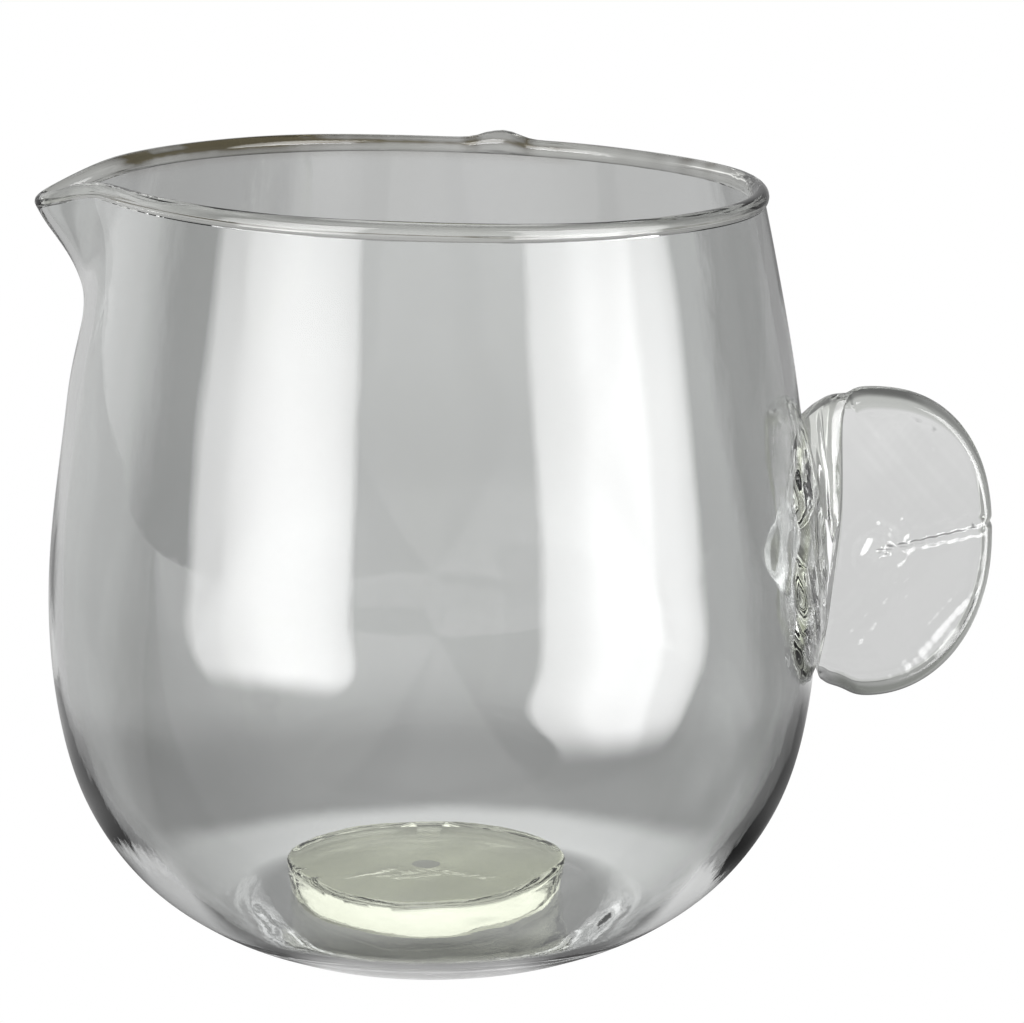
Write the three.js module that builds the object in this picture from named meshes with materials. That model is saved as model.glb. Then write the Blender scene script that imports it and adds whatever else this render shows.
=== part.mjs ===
// Hand-made glass jug: blown belly with a drawn spout, a bead wrapped round the lip,
// a thick pad under the floor and a pressed disc handle fused to one side.
// Millimetres, +Z up. The origin is on the belly's axis in the plane the jug stands on.
// +X points at the handle, -X at the spout.

import * as THREE from 'three';

// ---------------------------------------------------------------- driving dimensions

// Belly: outside radius at each height, from the standing ring to the lip.
const BELLY_Z = [0, 0.5, 1.3, 3, 6, 10, 16, 24, 34, 44, 54, 64, 74, 84, 94, 102, 108, 111.5];
const BELLY_R = [
  25.4, 27.6, 29.7, 33.6, 38.7, 43.7, 48.8, 53.1, 55.8, 57.0, 57.2, 56.5, 55.2, 53.8, 52.2, 50.8,
  49.7, 49.0,
];
const WALL = 1.9;

// Inside of the bowl where the wall thickens into the floor.
const FLOOR_Z = 4.0;
const BOWL_R = [13, 25, 30, 34.3, 38.8, 43.1, 47.3, 51.1, 53.6];
const BOWL_Z = [4.0, 4.0, 4.6, 6.2, 9.2, 13.2, 18.5, 25.4, 33.5];
const WALL_FROM_Z = 40;

// Lip: height of the wall's upper edge, its lean from spout to handle and the bead on it.
const LIP_EDGE_Z = 111.5;
const LIP_LEAN = 1.3;
const BEAD_RADIUS = 1.45;
const BEAD_LAP_ANGLE = 77;
const BEAD_LAP_LENGTH = 4.2;
const BEAD_LAP_HEIGHT = 0.75;

// Spout: how far the keel is drawn out at each height, and how narrow the beak is.
const KEEL_Z = [86, 90, 93, 96, 98.5, 101, 104, 107, 109.5, 111.5];
const KEEL_OUT = [0, -0.3, -0.7, -0.9, -0.2, 1.0, 2.9, 5.3, 7.4, 9.0];
const BEAK_SPREAD = 6.6;
const BEAK_POWER = 1.15;
const BEAK_ROUND = 2.0;
const SPOUT_DIP = 2.8;
const SPOUT_DIP_SPREAD = 9.0;

// Pad: solid disc laid on the floor inside, a little towards the spout.
const PAD_X = -1.4;
const PAD_RADIUS = 21.3;
const PAD_TOP = 8.8;
const PAD_EDGE = 0.6;

// Clearance left between fused pieces so that each stays a body of its own.
const GAP = 0.3;

// Seal: flattened gather on the wall under the handle.
const SEAL_Z = 60;
const SEAL_HALF_HEIGHT = 19.5;
const SEAL_HALF_ANGLE = 21;
const SEAL_FULL = 2.5;
const SEAL_THICK = 1.7;
const SEAL_EDGE = 0.45;

// Inward swelling of the wall behind the seal.
const DENT_Z = 58;
const DENT_DEPTH = 4.2;
const DENT_HALF_HEIGHT = 7.5;
const DENT_HALF_ANGLE = 7.5;

// Disc: centre, reach to the four sides and thickness.
const DISC_X = 64.6;
const DISC_Z = 60.2;
const DISC_RIGHT = 18.7;
const DISC_UP = 22.9;
const DISC_DOWN = 24.1;
const DISC_THICK = 7.0;
const DISC_FULL_UP = 2.37;
const DISC_FULL_DOWN = 2.08;
const DISC_EDGE_ROUND = 3.0;

// Left side of the disc, from its lower heel to its upper shoulder.
const CHORD_Z = [38.6, 41.0, 44.5, 50.0, 56.0, 61.0, 66.0, 72.0, 77.0, 81.2];
const CHORD_X = [57.9, 58.2, 59.0, 59.5, 59.9, 60.3, 60.5, 60.4, 60.3, 60.4];
// Heel of the disc, where the straight side turns into the lower edge: points [x, z].
const HEEL = [
  [57.9, 38.9],
  [59.0, 37.9],
];
const HEEL_REACH = 9.4;

// Neck: bit of glass between seal and disc, ending in a folded tail that hangs down.
const NECK_Z = [60.6, 61.4, 63.0, 65.5, 68.5, 72.0, 75.5, 78.5, 80.8, 81.9];
const NECK_HALF_Y = [0.5, 1.3, 2.0, 2.6, 3.0, 3.3, 3.4, 3.3, 2.6, 1.4];

// ---------------------------------------------------------------- helpers

const DEG = Math.PI / 180;

// Monotone cubic through the given points.
function curve(xs, ys) {
  const n = xs.length;
  const slope = [];
  for (let i = 0; i < n - 1; i += 1) {
    slope.push((ys[i + 1] - ys[i]) / (xs[i + 1] - xs[i]));
  }
  const tangent = [slope[0]];
  for (let i = 1; i < n - 1; i += 1) {
    const a = slope[i - 1];
    const b = slope[i];
    tangent.push(a * b <= 0 ? 0 : (2 * a * b) / (a + b));
  }
  tangent.push(slope[n - 2]);
  return (x) => {
    if (x <= xs[0]) {
      return ys[0];
    }
    if (x >= xs[n - 1]) {
      return ys[n - 1];
    }
    let k = 0;
    while (x > xs[k + 1]) {
      k += 1;
    }
    const h = xs[k + 1] - xs[k];
    const t = (x - xs[k]) / h;
    const t2 = t * t;
    const t3 = t2 * t;
    const a = (2 * t3 - 3 * t2 + 1) * ys[k] + (t3 - 2 * t2 + t) * h * tangent[k];
    const b = (-2 * t3 + 3 * t2) * ys[k + 1] + (t3 - t2) * h * tangent[k + 1];
    return a + b;
  };
}

// Closed body from a stack of equal rings, each end closed by a pole.
function bodyFromRings(rings, firstPole, lastPole) {
  const n = rings[0].length;
  const position = [];
  const index = [];
  position.push(...firstPole);
  rings.forEach((ring) => ring.forEach((p) => position.push(...p)));
  position.push(...lastPole);
  const last = position.length / 3 - 1;
  const at = (ring, k) => 1 + ring * n + (k % n);
  for (let k = 0; k < n; k += 1) {
    index.push(0, at(0, k + 1), at(0, k));
    index.push(last, at(rings.length - 1, k), at(rings.length - 1, k + 1));
  }
  for (let ring = 0; ring < rings.length - 1; ring += 1) {
    for (let k = 0; k < n; k += 1) {
      index.push(at(ring, k), at(ring, k + 1), at(ring + 1, k + 1));
      index.push(at(ring, k), at(ring + 1, k + 1), at(ring + 1, k));
    }
  }
  return facingOut(position, index);
}

// Closed ring body from sections that join end to end.
function bodyFromLoop(sections) {
  const n = sections[0].length;
  const m = sections.length;
  const position = [];
  const index = [];
  sections.forEach((section) => section.forEach((p) => position.push(...p)));
  for (let s = 0; s < m; s += 1) {
    for (let k = 0; k < n; k += 1) {
      const a = s * n + k;
      const b = s * n + ((k + 1) % n);
      const c = ((s + 1) % m) * n + ((k + 1) % n);
      const d = ((s + 1) % m) * n + k;
      index.push(a, b, c);
      index.push(a, c, d);
    }
  }
  return facingOut(position, index);
}

// Turns every face outward by the sign of the enclosed volume.
function facingOut(position, index) {
  let volume = 0;
  for (let i = 0; i < index.length; i += 3) {
    const a = new THREE.Vector3().fromArray(position, index[i] * 3);
    const b = new THREE.Vector3().fromArray(position, index[i + 1] * 3);
    const c = new THREE.Vector3().fromArray(position, index[i + 2] * 3);
    volume += a.dot(b.cross(c));
  }
  if (volume < 0) {
    for (let i = 0; i < index.length; i += 3) {
      const swap = index[i + 1];
      index[i + 1] = index[i + 2];
      index[i + 2] = swap;
    }
  }
  const geometry = new THREE.BufferGeometry();
  geometry.setAttribute('position', new THREE.Float32BufferAttribute(position, 3));
  geometry.setIndex(index);
  geometry.computeVertexNormals();
  return geometry;
}

function piece(name, geometry, color) {
  const material = new THREE.MeshStandardMaterial({ color, roughness: 0.12, metalness: 0 });
  const mesh = new THREE.Mesh(geometry, material);
  mesh.name = name;
  return mesh;
}

// ---------------------------------------------------------------- shape of the belly

const bellyRadius = curve(BELLY_Z, BELLY_R);
const keelOut = curve(KEEL_Z, KEEL_OUT);

// Angle from the spout's middle, in degrees, for a heading measured from +X.
function fromSpout(heading) {
  let angle = heading - 180;
  while (angle > 180) {
    angle -= 360;
  }
  while (angle < -180) {
    angle += 360;
  }
  return angle;
}

function fromHandle(heading) {
  return fromSpout(heading + 180);
}

// Share of the keel's reach that is left at an angle away from it.
function beak(heading) {
  const angle = fromSpout(heading);
  const round = Math.sqrt(angle * angle + BEAK_ROUND * BEAK_ROUND) - BEAK_ROUND;
  return Math.exp(-Math.pow(round / BEAK_SPREAD, BEAK_POWER));
}

// Rise or fall of the lip edge against its mean height.
function lipShift(heading) {
  const angle = fromSpout(heading);
  const lean = -LIP_LEAN * Math.cos(heading * DEG);
  const dip = SPOUT_DIP * Math.exp(-Math.pow(angle / SPOUT_DIP_SPREAD, 2));
  return lean - dip;
}

// Point on the outside of the belly.
function outside(heading, z) {
  const radius = bellyRadius(z) + keelOut(z) * beak(heading);
  const height = z + lipShift(heading) * Math.pow(z / LIP_EDGE_Z, 6);
  const a = heading * DEG;
  return new THREE.Vector3(radius * Math.cos(a), radius * Math.sin(a), height);
}

// Point on the inside of the wall, one wall thickness in along the surface normal.
function inside(heading, z) {
  const step = 0.6;
  const upper = Math.min(z + 0.5, LIP_EDGE_Z);
  const along = outside(heading + step, z).sub(outside(heading - step, z));
  const up = outside(heading, upper).sub(outside(heading, z - 0.5));
  const normal = along.cross(up).normalize();
  normal.z *= 1 - Math.min(1, Math.max(0, (z - 100) / (LIP_EDGE_Z - 100)));
  normal.normalize();
  return outside(heading, z).addScaledVector(normal, -(WALL + dentDepth(heading, z)));
}

function dentDepth(heading, z) {
  const angle = fromHandle(heading);
  const side = Math.exp(-Math.pow(angle / DENT_HALF_ANGLE, 2));
  const rise = Math.exp(-Math.pow((z - DENT_Z) / DENT_HALF_HEIGHT, 2));
  return DENT_DEPTH * side * rise;
}

// Headings round the jug, closer together at the spout and behind the handle.
function headings() {
  const list = [];
  const spans = [
    [-20, 20, 4],
    [20, 156, 6.8],
    [156, 168, 3],
    [168, 192, 2],
    [192, 204, 3],
    [204, 340, 6.8],
  ];
  spans.forEach(([from, to, step]) => {
    const count = Math.round((to - from) / step);
    for (let k = 0; k < count; k += 1) {
      list.push(from + ((to - from) * k) / count);
    }
  });
  return list;
}

const ROUND = headings();

function level(radius, z) {
  return ROUND.map((h) => [radius * Math.cos(h * DEG), radius * Math.sin(h * DEG), z]);
}

// ---------------------------------------------------------------- pieces

function makeVessel() {
  const rings = [level(BELLY_R[0] * 0.6, 0)];
  BELLY_Z.forEach((z) => {
    rings.push(
      ROUND.map((h) => {
        const p = outside(h, z);
        return [p.x, p.y, p.z];
      }),
    );
  });
  const innerZ = [111.5, 109, 106, 102, 97, 91, 84, 77, 70, 66, 62, 58, 54, 50, 46, WALL_FROM_Z];
  innerZ.forEach((z) => {
    rings.push(
      ROUND.map((h) => {
        const p = inside(h, z);
        return [p.x, p.y, p.z];
      }),
    );
  });
  for (let k = BOWL_R.length - 1; k >= 0; k -= 1) {
    rings.push(level(BOWL_R[k], BOWL_Z[k]));
  }
  return bodyFromRings(rings, [0, 0, 0], [0, 0, FLOOR_Z]);
}

// Middle of the wall's upper edge.
function lipEdge(heading) {
  return outside(heading, LIP_EDGE_Z).add(inside(heading, LIP_EDGE_Z)).multiplyScalar(0.5);
}

// Middle of the lip bead, square to the slope of the edge it rests on.
function beadCentre(heading) {
  const edge = lipEdge(heading);
  const along = lipEdge(heading + 0.8).sub(lipEdge(heading - 0.8));
  const stretch = along.length() / Math.hypot(along.x, along.y);
  edge.z += (GAP + BEAD_RADIUS) * stretch;
  return edge;
}

function makeLipWrap() {
  const around = 10;
  const sections = ROUND.map((h) => {
    const centre = beadCentre(h);
    const along = beadCentre(h + 0.8).sub(beadCentre(h - 0.8));
    const out = new THREE.Vector3(along.y, -along.x, 0).normalize();
    const arc = ((h - BEAD_LAP_ANGLE) * DEG * bellyRadius(LIP_EDGE_Z)) / BEAD_LAP_LENGTH;
    const lap = BEAD_LAP_HEIGHT * Math.exp(-arc * arc);
    const section = [];
    for (let k = 0; k < around; k += 1) {
      const a = (2 * Math.PI * (k + 0.5)) / around;
      const rise = Math.sin(a) > 0 ? BEAD_RADIUS + lap : BEAD_RADIUS;
      const x = centre.x + out.x * BEAD_RADIUS * Math.cos(a);
      const y = centre.y + out.y * BEAD_RADIUS * Math.cos(a);
      section.push([x, y, centre.z + rise * Math.sin(a)]);
    }
    return section;
  });
  return bodyFromLoop(sections);
}

function makeBasePad() {
  const n = 64;
  const bottom = FLOOR_Z + GAP;
  const ring = (radius, z) => {
    const points = [];
    for (let k = 0; k < n; k += 1) {
      const a = (2 * Math.PI * k) / n;
      points.push([PAD_X + radius * Math.cos(a), radius * Math.sin(a), z]);
    }
    return points;
  };
  const rings = [
    ring(PAD_RADIUS - PAD_EDGE, bottom),
    ring(PAD_RADIUS, bottom + PAD_EDGE),
    ring(PAD_RADIUS, PAD_TOP - PAD_EDGE),
    ring(PAD_RADIUS - PAD_EDGE, PAD_TOP),
  ];
  return bodyFromRings(rings, [PAD_X, 0, bottom], [PAD_X, 0, PAD_TOP]);
}

// Thickness of the seal at a share of its reach from middle to edge.
function sealThickness(share) {
  return SEAL_EDGE + (SEAL_THICK - SEAL_EDGE) * Math.pow(1 - share * share, 0.7);
}

function makeHandleSeal() {
  const n = 36;
  const shares = [0.3, 0.55, 0.78, 0.93, 1.0];
  const at = (share, k, lift) => {
    const a = (2 * Math.PI * k) / n;
    const c = Math.cos(a);
    const s = Math.sin(a);
    const up = Math.sign(s) * Math.pow(Math.abs(s), 2 / SEAL_FULL);
    const across = Math.sign(c) * Math.pow(Math.abs(c), 2 / SEAL_FULL);
    const z = SEAL_Z + SEAL_HALF_HEIGHT * share * up;
    const heading = SEAL_HALF_ANGLE * share * across * DEG;
    const radius = bellyRadius(z) + GAP + lift;
    return [radius * Math.cos(heading), radius * Math.sin(heading), z];
  };
  const rings = [];
  shares.forEach((share) => {
    const ring = [];
    for (let k = 0; k < n; k += 1) {
      ring.push(at(share, k, sealThickness(share)));
    }
    rings.push(ring);
  });
  for (let s = shares.length - 1; s >= 0; s -= 1) {
    const ring = [];
    for (let k = 0; k < n; k += 1) {
      ring.push(at(shares[s], k, 0));
    }
    rings.push(ring);
  }
  const face = bellyRadius(SEAL_Z) + GAP;
  return bodyFromRings(rings, [face + SEAL_THICK, 0, SEAL_Z], [face, 0, SEAL_Z]);
}

const chordX = curve(CHORD_Z, CHORD_X);

// Outline of the disc in its own plane, counted counter-clockwise from its heel.
function discOutline() {
  const points = [];
  const sweep = 30;
  const quarter = (reachX, reachZ, full, from, to, count) => {
    for (let k = 0; k < count; k += 1) {
      const a = (from + ((to - from) * k) / count) * DEG;
      const c = Math.cos(a);
      const s = Math.sin(a);
      const x = Math.sign(c) * Math.pow(Math.abs(c), 2 / full) * reachX;
      const z = Math.sign(s) * Math.pow(Math.abs(s), 2 / full) * reachZ;
      points.push([DISC_X + x, DISC_Z + z]);
    }
  };
  points.push(...HEEL);
  quarter(HEEL_REACH, DISC_DOWN, 2.2, -110, -90, 3);
  quarter(DISC_RIGHT, DISC_DOWN, DISC_FULL_DOWN, -90, 0, sweep / 2);
  quarter(DISC_RIGHT, DISC_UP, DISC_FULL_UP, 0, 90, sweep / 2);
  quarter(16, DISC_UP, 2.0, 90, 103, 4);
  const top = CHORD_Z[CHORD_Z.length - 1];
  const bottom = CHORD_Z[0];
  const steps = 16;
  for (let k = 0; k < steps; k += 1) {
    const z = top + ((bottom - top) * k) / steps;
    points.push([chordX(z), z]);
  }
  return points;
}

function makeHandleDisc() {
  const outline = discOutline();
  const half = DISC_THICK / 2;
  const layers = 5;
  const rings = [];
  const addRing = (y, inset) => {
    rings.push(
      outline.map(([x, z]) => {
        const dx = x - DISC_X;
        const dz = z - DISC_Z;
        const reach = Math.hypot(dx, dz);
        const kept = Math.max(reach - inset * Math.min(1, reach / 9), reach * 0.3) / reach;
        return [DISC_X + dx * kept, y, DISC_Z + dz * kept];
      }),
    );
  };
  for (let k = 0; k <= layers; k += 1) {
    const a = ((90 * k) / layers) * DEG;
    addRing(-half + DISC_EDGE_ROUND * (1 - Math.cos(a)), DISC_EDGE_ROUND * 0.8 * (1 - Math.sin(a)));
  }
  for (let k = layers; k >= 0; k -= 1) {
    const a = ((90 * k) / layers) * DEG;
    addRing(half - DISC_EDGE_ROUND * (1 - Math.cos(a)), DISC_EDGE_ROUND * 0.8 * (1 - Math.sin(a)));
  }
  return bodyFromRings(rings, [DISC_X, -half, DISC_Z], [DISC_X, half, DISC_Z]);
}

// Outer face of the wall or seal in the disc's plane.
function wallFace(z) {
  const share = Math.abs(z - SEAL_Z) / SEAL_HALF_HEIGHT;
  const wall = bellyRadius(z);
  return share < 1 ? wall + GAP + sealThickness(share) : wall;
}

function makeHandleNeck() {
  const n = 20;
  const rings = NECK_Z.map((z, i) => {
    const shelf = chordX(Math.min(z, CHORD_Z[CHORD_Z.length - 1]));
    const lean = Math.max(0, z - CHORD_Z[CHORD_Z.length - 1]) * 0.6;
    const right = shelf - GAP - lean;
    const left = wallFace(z) + GAP + Math.max(0, 1.6 - (z - NECK_Z[0]) * 0.35) * 0.5;
    const middle = (left + right) / 2;
    const halfX = (right - left) / 2;
    const halfY = NECK_HALF_Y[i];
    const ring = [];
    for (let k = 0; k < n; k += 1) {
      const a = (2 * Math.PI * k) / n;
      const c = Math.cos(a);
      const s = Math.sin(a);
      const x = Math.sign(c) * Math.pow(Math.abs(c), 0.75) * halfX;
      const y = Math.sign(s) * Math.pow(Math.abs(s), 0.75) * halfY;
      ring.push([middle + x, y, z]);
    }
    return ring;
  });
  const first = rings[0];
  const last = rings[rings.length - 1];
  const middleOf = (ring) => (ring[0][0] + ring[n / 2][0]) / 2;
  const firstPole = [middleOf(first), 0, NECK_Z[0] - 0.3];
  const lastPole = [middleOf(last), 0, NECK_Z[NECK_Z.length - 1] + 0.2];
  return bodyFromRings(rings, firstPole, lastPole);
}

// ---------------------------------------------------------------- assembly

function build() {
  const jug = new THREE.Group();
  jug.name = 'glass_jug';
  jug.add(piece('vessel', makeVessel(), 0xdde3e0));
  jug.add(piece('lip_wrap', makeLipWrap(), 0xc9cfc4));
  jug.add(piece('base_pad', makeBasePad(), 0xdfe4cf));
  jug.add(piece('handle_seal', makeHandleSeal(), 0xd5dccb));
  jug.add(piece('handle_neck', makeHandleNeck(), 0xcfd6c6));
  jug.add(piece('handle_disc', makeHandleDisc(), 0xe4e6e3));
  return jug;
}

export default build();
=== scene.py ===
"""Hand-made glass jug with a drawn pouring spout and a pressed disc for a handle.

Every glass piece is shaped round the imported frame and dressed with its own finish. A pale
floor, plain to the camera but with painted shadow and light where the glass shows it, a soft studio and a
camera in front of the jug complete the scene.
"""

from __future__ import annotations

import logging
import math
from collections.abc import Callable, Sequence
from dataclasses import dataclass, field
from enum import Enum, IntEnum

import bmesh
import bpy
import numpy as np
from mathutils import Matrix, Vector

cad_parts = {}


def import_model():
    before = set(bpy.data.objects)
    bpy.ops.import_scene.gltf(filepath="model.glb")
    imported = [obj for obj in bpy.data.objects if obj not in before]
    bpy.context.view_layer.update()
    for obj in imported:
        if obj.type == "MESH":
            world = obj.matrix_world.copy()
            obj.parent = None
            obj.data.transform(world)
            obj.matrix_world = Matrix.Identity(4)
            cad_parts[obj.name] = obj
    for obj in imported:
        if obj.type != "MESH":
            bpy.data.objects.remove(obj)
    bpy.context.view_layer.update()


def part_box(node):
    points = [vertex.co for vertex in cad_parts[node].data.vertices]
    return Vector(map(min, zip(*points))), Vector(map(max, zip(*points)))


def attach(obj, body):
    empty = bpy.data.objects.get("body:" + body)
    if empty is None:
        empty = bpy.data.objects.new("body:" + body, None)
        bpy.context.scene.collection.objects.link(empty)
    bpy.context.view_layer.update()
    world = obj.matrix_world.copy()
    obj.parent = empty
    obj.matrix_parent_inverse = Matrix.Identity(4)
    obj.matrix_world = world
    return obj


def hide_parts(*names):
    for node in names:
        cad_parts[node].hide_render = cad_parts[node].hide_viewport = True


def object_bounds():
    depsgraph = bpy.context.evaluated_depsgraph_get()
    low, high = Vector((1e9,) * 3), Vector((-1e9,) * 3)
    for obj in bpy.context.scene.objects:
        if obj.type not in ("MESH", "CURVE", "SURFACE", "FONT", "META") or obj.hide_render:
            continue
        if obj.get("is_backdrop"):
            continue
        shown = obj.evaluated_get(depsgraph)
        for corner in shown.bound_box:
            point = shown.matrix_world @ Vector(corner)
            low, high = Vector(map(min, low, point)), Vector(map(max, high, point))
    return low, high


LOG = logging.getLogger("glass_jug")
Grid = np.ndarray


class Skin(IntEnum):
    """What a face of a glass piece is."""

    GLASS = 0
    WELD = 1


class Node(str, Enum):
    """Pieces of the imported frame."""

    VESSEL = "vessel"
    LIP_WRAP = "lip_wrap"
    BASE_PAD = "base_pad"
    HANDLE_SEAL = "handle_seal"
    HANDLE_NECK = "handle_neck"
    HANDLE_DISC = "handle_disc"


class Slot(str, Enum):
    """Finishes named in the record."""

    VESSEL = "vessel_glass"
    LIP = "lip_glass"
    PAD = "pad_glass"
    SEAL = "seal_glass"
    NECK = "neck_glass"
    DISC = "disc_glass"


# ------------------------------------------------------------------ curves


@dataclass
class NaturalCurve:
    """Smooth curve through a few given values.

    Attributes:
        at: Places along the line, in rising order.
        value: The curve's value at each of them.
        bend: How much it bends there.
    """

    at: Sequence[float]
    value: Sequence[float]
    bend: np.ndarray = field(init=False)

    def __post_init__(self) -> None:
        """Works out how much the curve bends at each given value."""
        self.at = np.asarray(self.at, dtype=float)
        self.value = np.asarray(self.value, dtype=float)
        count = len(self.at)
        gap = np.diff(self.at)
        rise = np.diff(self.value) / gap
        matrix = np.eye(count)
        right = np.zeros(count)
        for k in range(1, count - 1):
            matrix[k, k - 1] = gap[k - 1]
            matrix[k, k] = 2.0 * (gap[k - 1] + gap[k])
            matrix[k, k + 1] = gap[k]
            right[k] = 6.0 * (rise[k] - rise[k - 1])
        self.bend = np.linalg.solve(matrix, right)

    def __call__(self, where: np.ndarray | float) -> np.ndarray:
        """Reads the curve.

        Args:
            where: One place or an array of places along it.

        Returns:
            The curve's value there, held level past both ends.
        """
        x = np.clip(np.asarray(where, dtype=float), self.at[0], self.at[-1])
        k = np.clip(np.searchsorted(self.at, x) - 1, 0, len(self.at) - 2)
        gap = self.at[k + 1] - self.at[k]
        low = (self.at[k + 1] - x) / gap
        high = (x - self.at[k]) / gap
        curved = (low**3 - low) * self.bend[k] + (high**3 - high) * self.bend[k + 1]
        return low * self.value[k] + high * self.value[k + 1] + curved * gap**2 / 6.0


def smoothstep(low: float, high: float, x: Grid) -> Grid:
    """Eases from 0 at low to 1 at high.

    Args:
        low: Where the rise starts.
        high: Where it ends.
        x: Places to read.

    Returns:
        The eased share at each place.
    """
    t = np.clip((np.asarray(x, dtype=float) - low) / (high - low), 0.0, 1.0)
    return t * t * (3.0 - 2.0 * t)


def bump(x: Grid, middle: float, spread: float) -> Grid:
    """Bell-shaped hump of height 1 round a middle."""
    return np.exp(-(((np.asarray(x, dtype=float) - middle) / spread) ** 2))


def unit_vectors(vectors: Grid) -> Grid:
    """Scales every vector of a grid to length 1."""
    return vectors / np.maximum(np.linalg.norm(vectors, axis=-1, keepdims=True), 1e-12)


# ------------------------------------------------------------------ mesh helpers


def spun_shell(rings: int, steps: int) -> bmesh.types.BMesh:
    """Makes a closed shell of rings between two poles by spinning a chain of points.

    Ring k stands at height k with a radius of 1, so that a later placing step can tell
    each point's ring from its height and its step from its heading.

    Args:
        rings: How many rings lie between the poles.
        steps: How many points each ring has.

    Returns:
        The mesh, with its doubles merged.
    """
    shell = bmesh.new()
    first = bmesh.ops.create_vert(shell, co=(0.0, 0.0, -1.0))["vert"][0]
    chain = [first]
    for k in range(rings + 1):
        made = bmesh.ops.extrude_vert_indiv(shell, verts=[chain[-1]])
        point = made["verts"][0]
        point.co = (0.0, 0.0, float(rings)) if k == rings else (1.0, 0.0, float(k))
        chain.append(point)
    bmesh.ops.spin(
        shell,
        geom=shell.verts[:] + shell.edges[:],
        cent=(0.0, 0.0, 0.0),
        axis=(0.0, 0.0, 1.0),
        angle=2.0 * math.pi,
        steps=steps,
        use_merge=True,
    )
    bmesh.ops.remove_doubles(shell, verts=shell.verts[:], dist=1e-4)
    return shell


def spun_tube(sides: int, steps: int) -> bmesh.types.BMesh:
    """Makes a closed ring-shaped tube by spinning a circle.

    Args:
        sides: How many points go round the tube.
        steps: How many sections it has.

    Returns:
        The mesh: radius 3 to the tube's middle, and 1 from there to its skin.
    """
    tube = bmesh.new()
    made = bmesh.ops.create_circle(tube, cap_ends=False, segments=sides, radius=1.0)
    turn = Matrix.Rotation(math.radians(90.0), 4, "X")
    bmesh.ops.transform(tube, matrix=Matrix.Translation((3.0, 0.0, 0.0)) @ turn, verts=made["verts"])
    bmesh.ops.spin(
        tube,
        geom=tube.verts[:] + tube.edges[:],
        cent=(0.0, 0.0, 0.0),
        axis=(0.0, 0.0, 1.0),
        angle=2.0 * math.pi,
        steps=steps,
        use_merge=True,
    )
    bmesh.ops.remove_doubles(tube, verts=tube.verts[:], dist=1e-4)
    return tube


@dataclass
class GlassPiece:
    """Turns a finished bmesh into an object that rides on the frame.

    Attributes:
        name: The piece's name.
        node: The frame node it stands for, or None for a piece of detail.
        slot: The record's finish it takes; not used.
        crease: Angle in degrees past which an edge stays sharp.
    """

    name: str
    node: Node | None
    slot: Slot
    crease: float = 50.0

    def finish(self, mesh: bmesh.types.BMesh, materials: Sequence[bpy.types.Material]) -> bpy.types.Object:
        """Turns the faces outward, smooths and dresses the mesh and hands it to the frame.

        Args:
            mesh: The piece in metres, in the frame's own axes.
            materials: Its materials in the order of Skin.

        Returns:
            The new object.
        """
        bmesh.ops.recalc_face_normals(mesh, faces=mesh.faces[:])
        if mesh.calc_volume(signed=True) < 0.0:
            bmesh.ops.reverse_faces(mesh, faces=mesh.faces[:])
        limit = math.radians(self.crease)
        for face in mesh.faces:
            face.smooth = True
        for edge in mesh.edges:
            pair = edge.link_faces
            split = len(pair) == 2 and pair[0].material_index != pair[1].material_index
            edge.smooth = not (split or edge.calc_face_angle(0.0) > limit)
        open_edges = sum(1 for edge in mesh.edges if len(edge.link_faces) != 2)
        data = bpy.data.meshes.new(self.name)
        mesh.to_mesh(data)
        volume = mesh.calc_volume(signed=True)
        mesh.free()
        piece = bpy.data.objects.new(self.name, data)
        bpy.context.scene.collection.objects.link(piece)
        for material in materials:
            data.materials.append(material)
        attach(piece, "root")
        if self.node is not None:
            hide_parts(self.node.value)
        triangles = sum(len(polygon.vertices) - 2 for polygon in data.polygons)
        report = "%s: %d triangles, %.2f cm3, %d open edges"
        LOG.info(report, self.name, triangles, volume * 1e6, open_edges)
        return piece


# ------------------------------------------------------------------ finishes


@dataclass(frozen=True)
class WeldFinish:
    """Joint face inside fused glass: nothing shows there."""

    name: str = "weld_inside_glass"

    def build(self) -> bpy.types.Material:
        """Makes the clear joint material.

        Returns:
            The material of every face inside a joint.
        """
        material = bpy.data.materials.new(self.name)
        material.use_nodes = True
        shader = material.node_tree.nodes["Principled BSDF"]
        shader.inputs["Base Color"].default_value = (0.95, 0.96, 0.95, 1.0)
        shader.inputs["Alpha"].default_value = 0.0
        shader.inputs["Roughness"].default_value = 0.0
        return material


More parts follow.
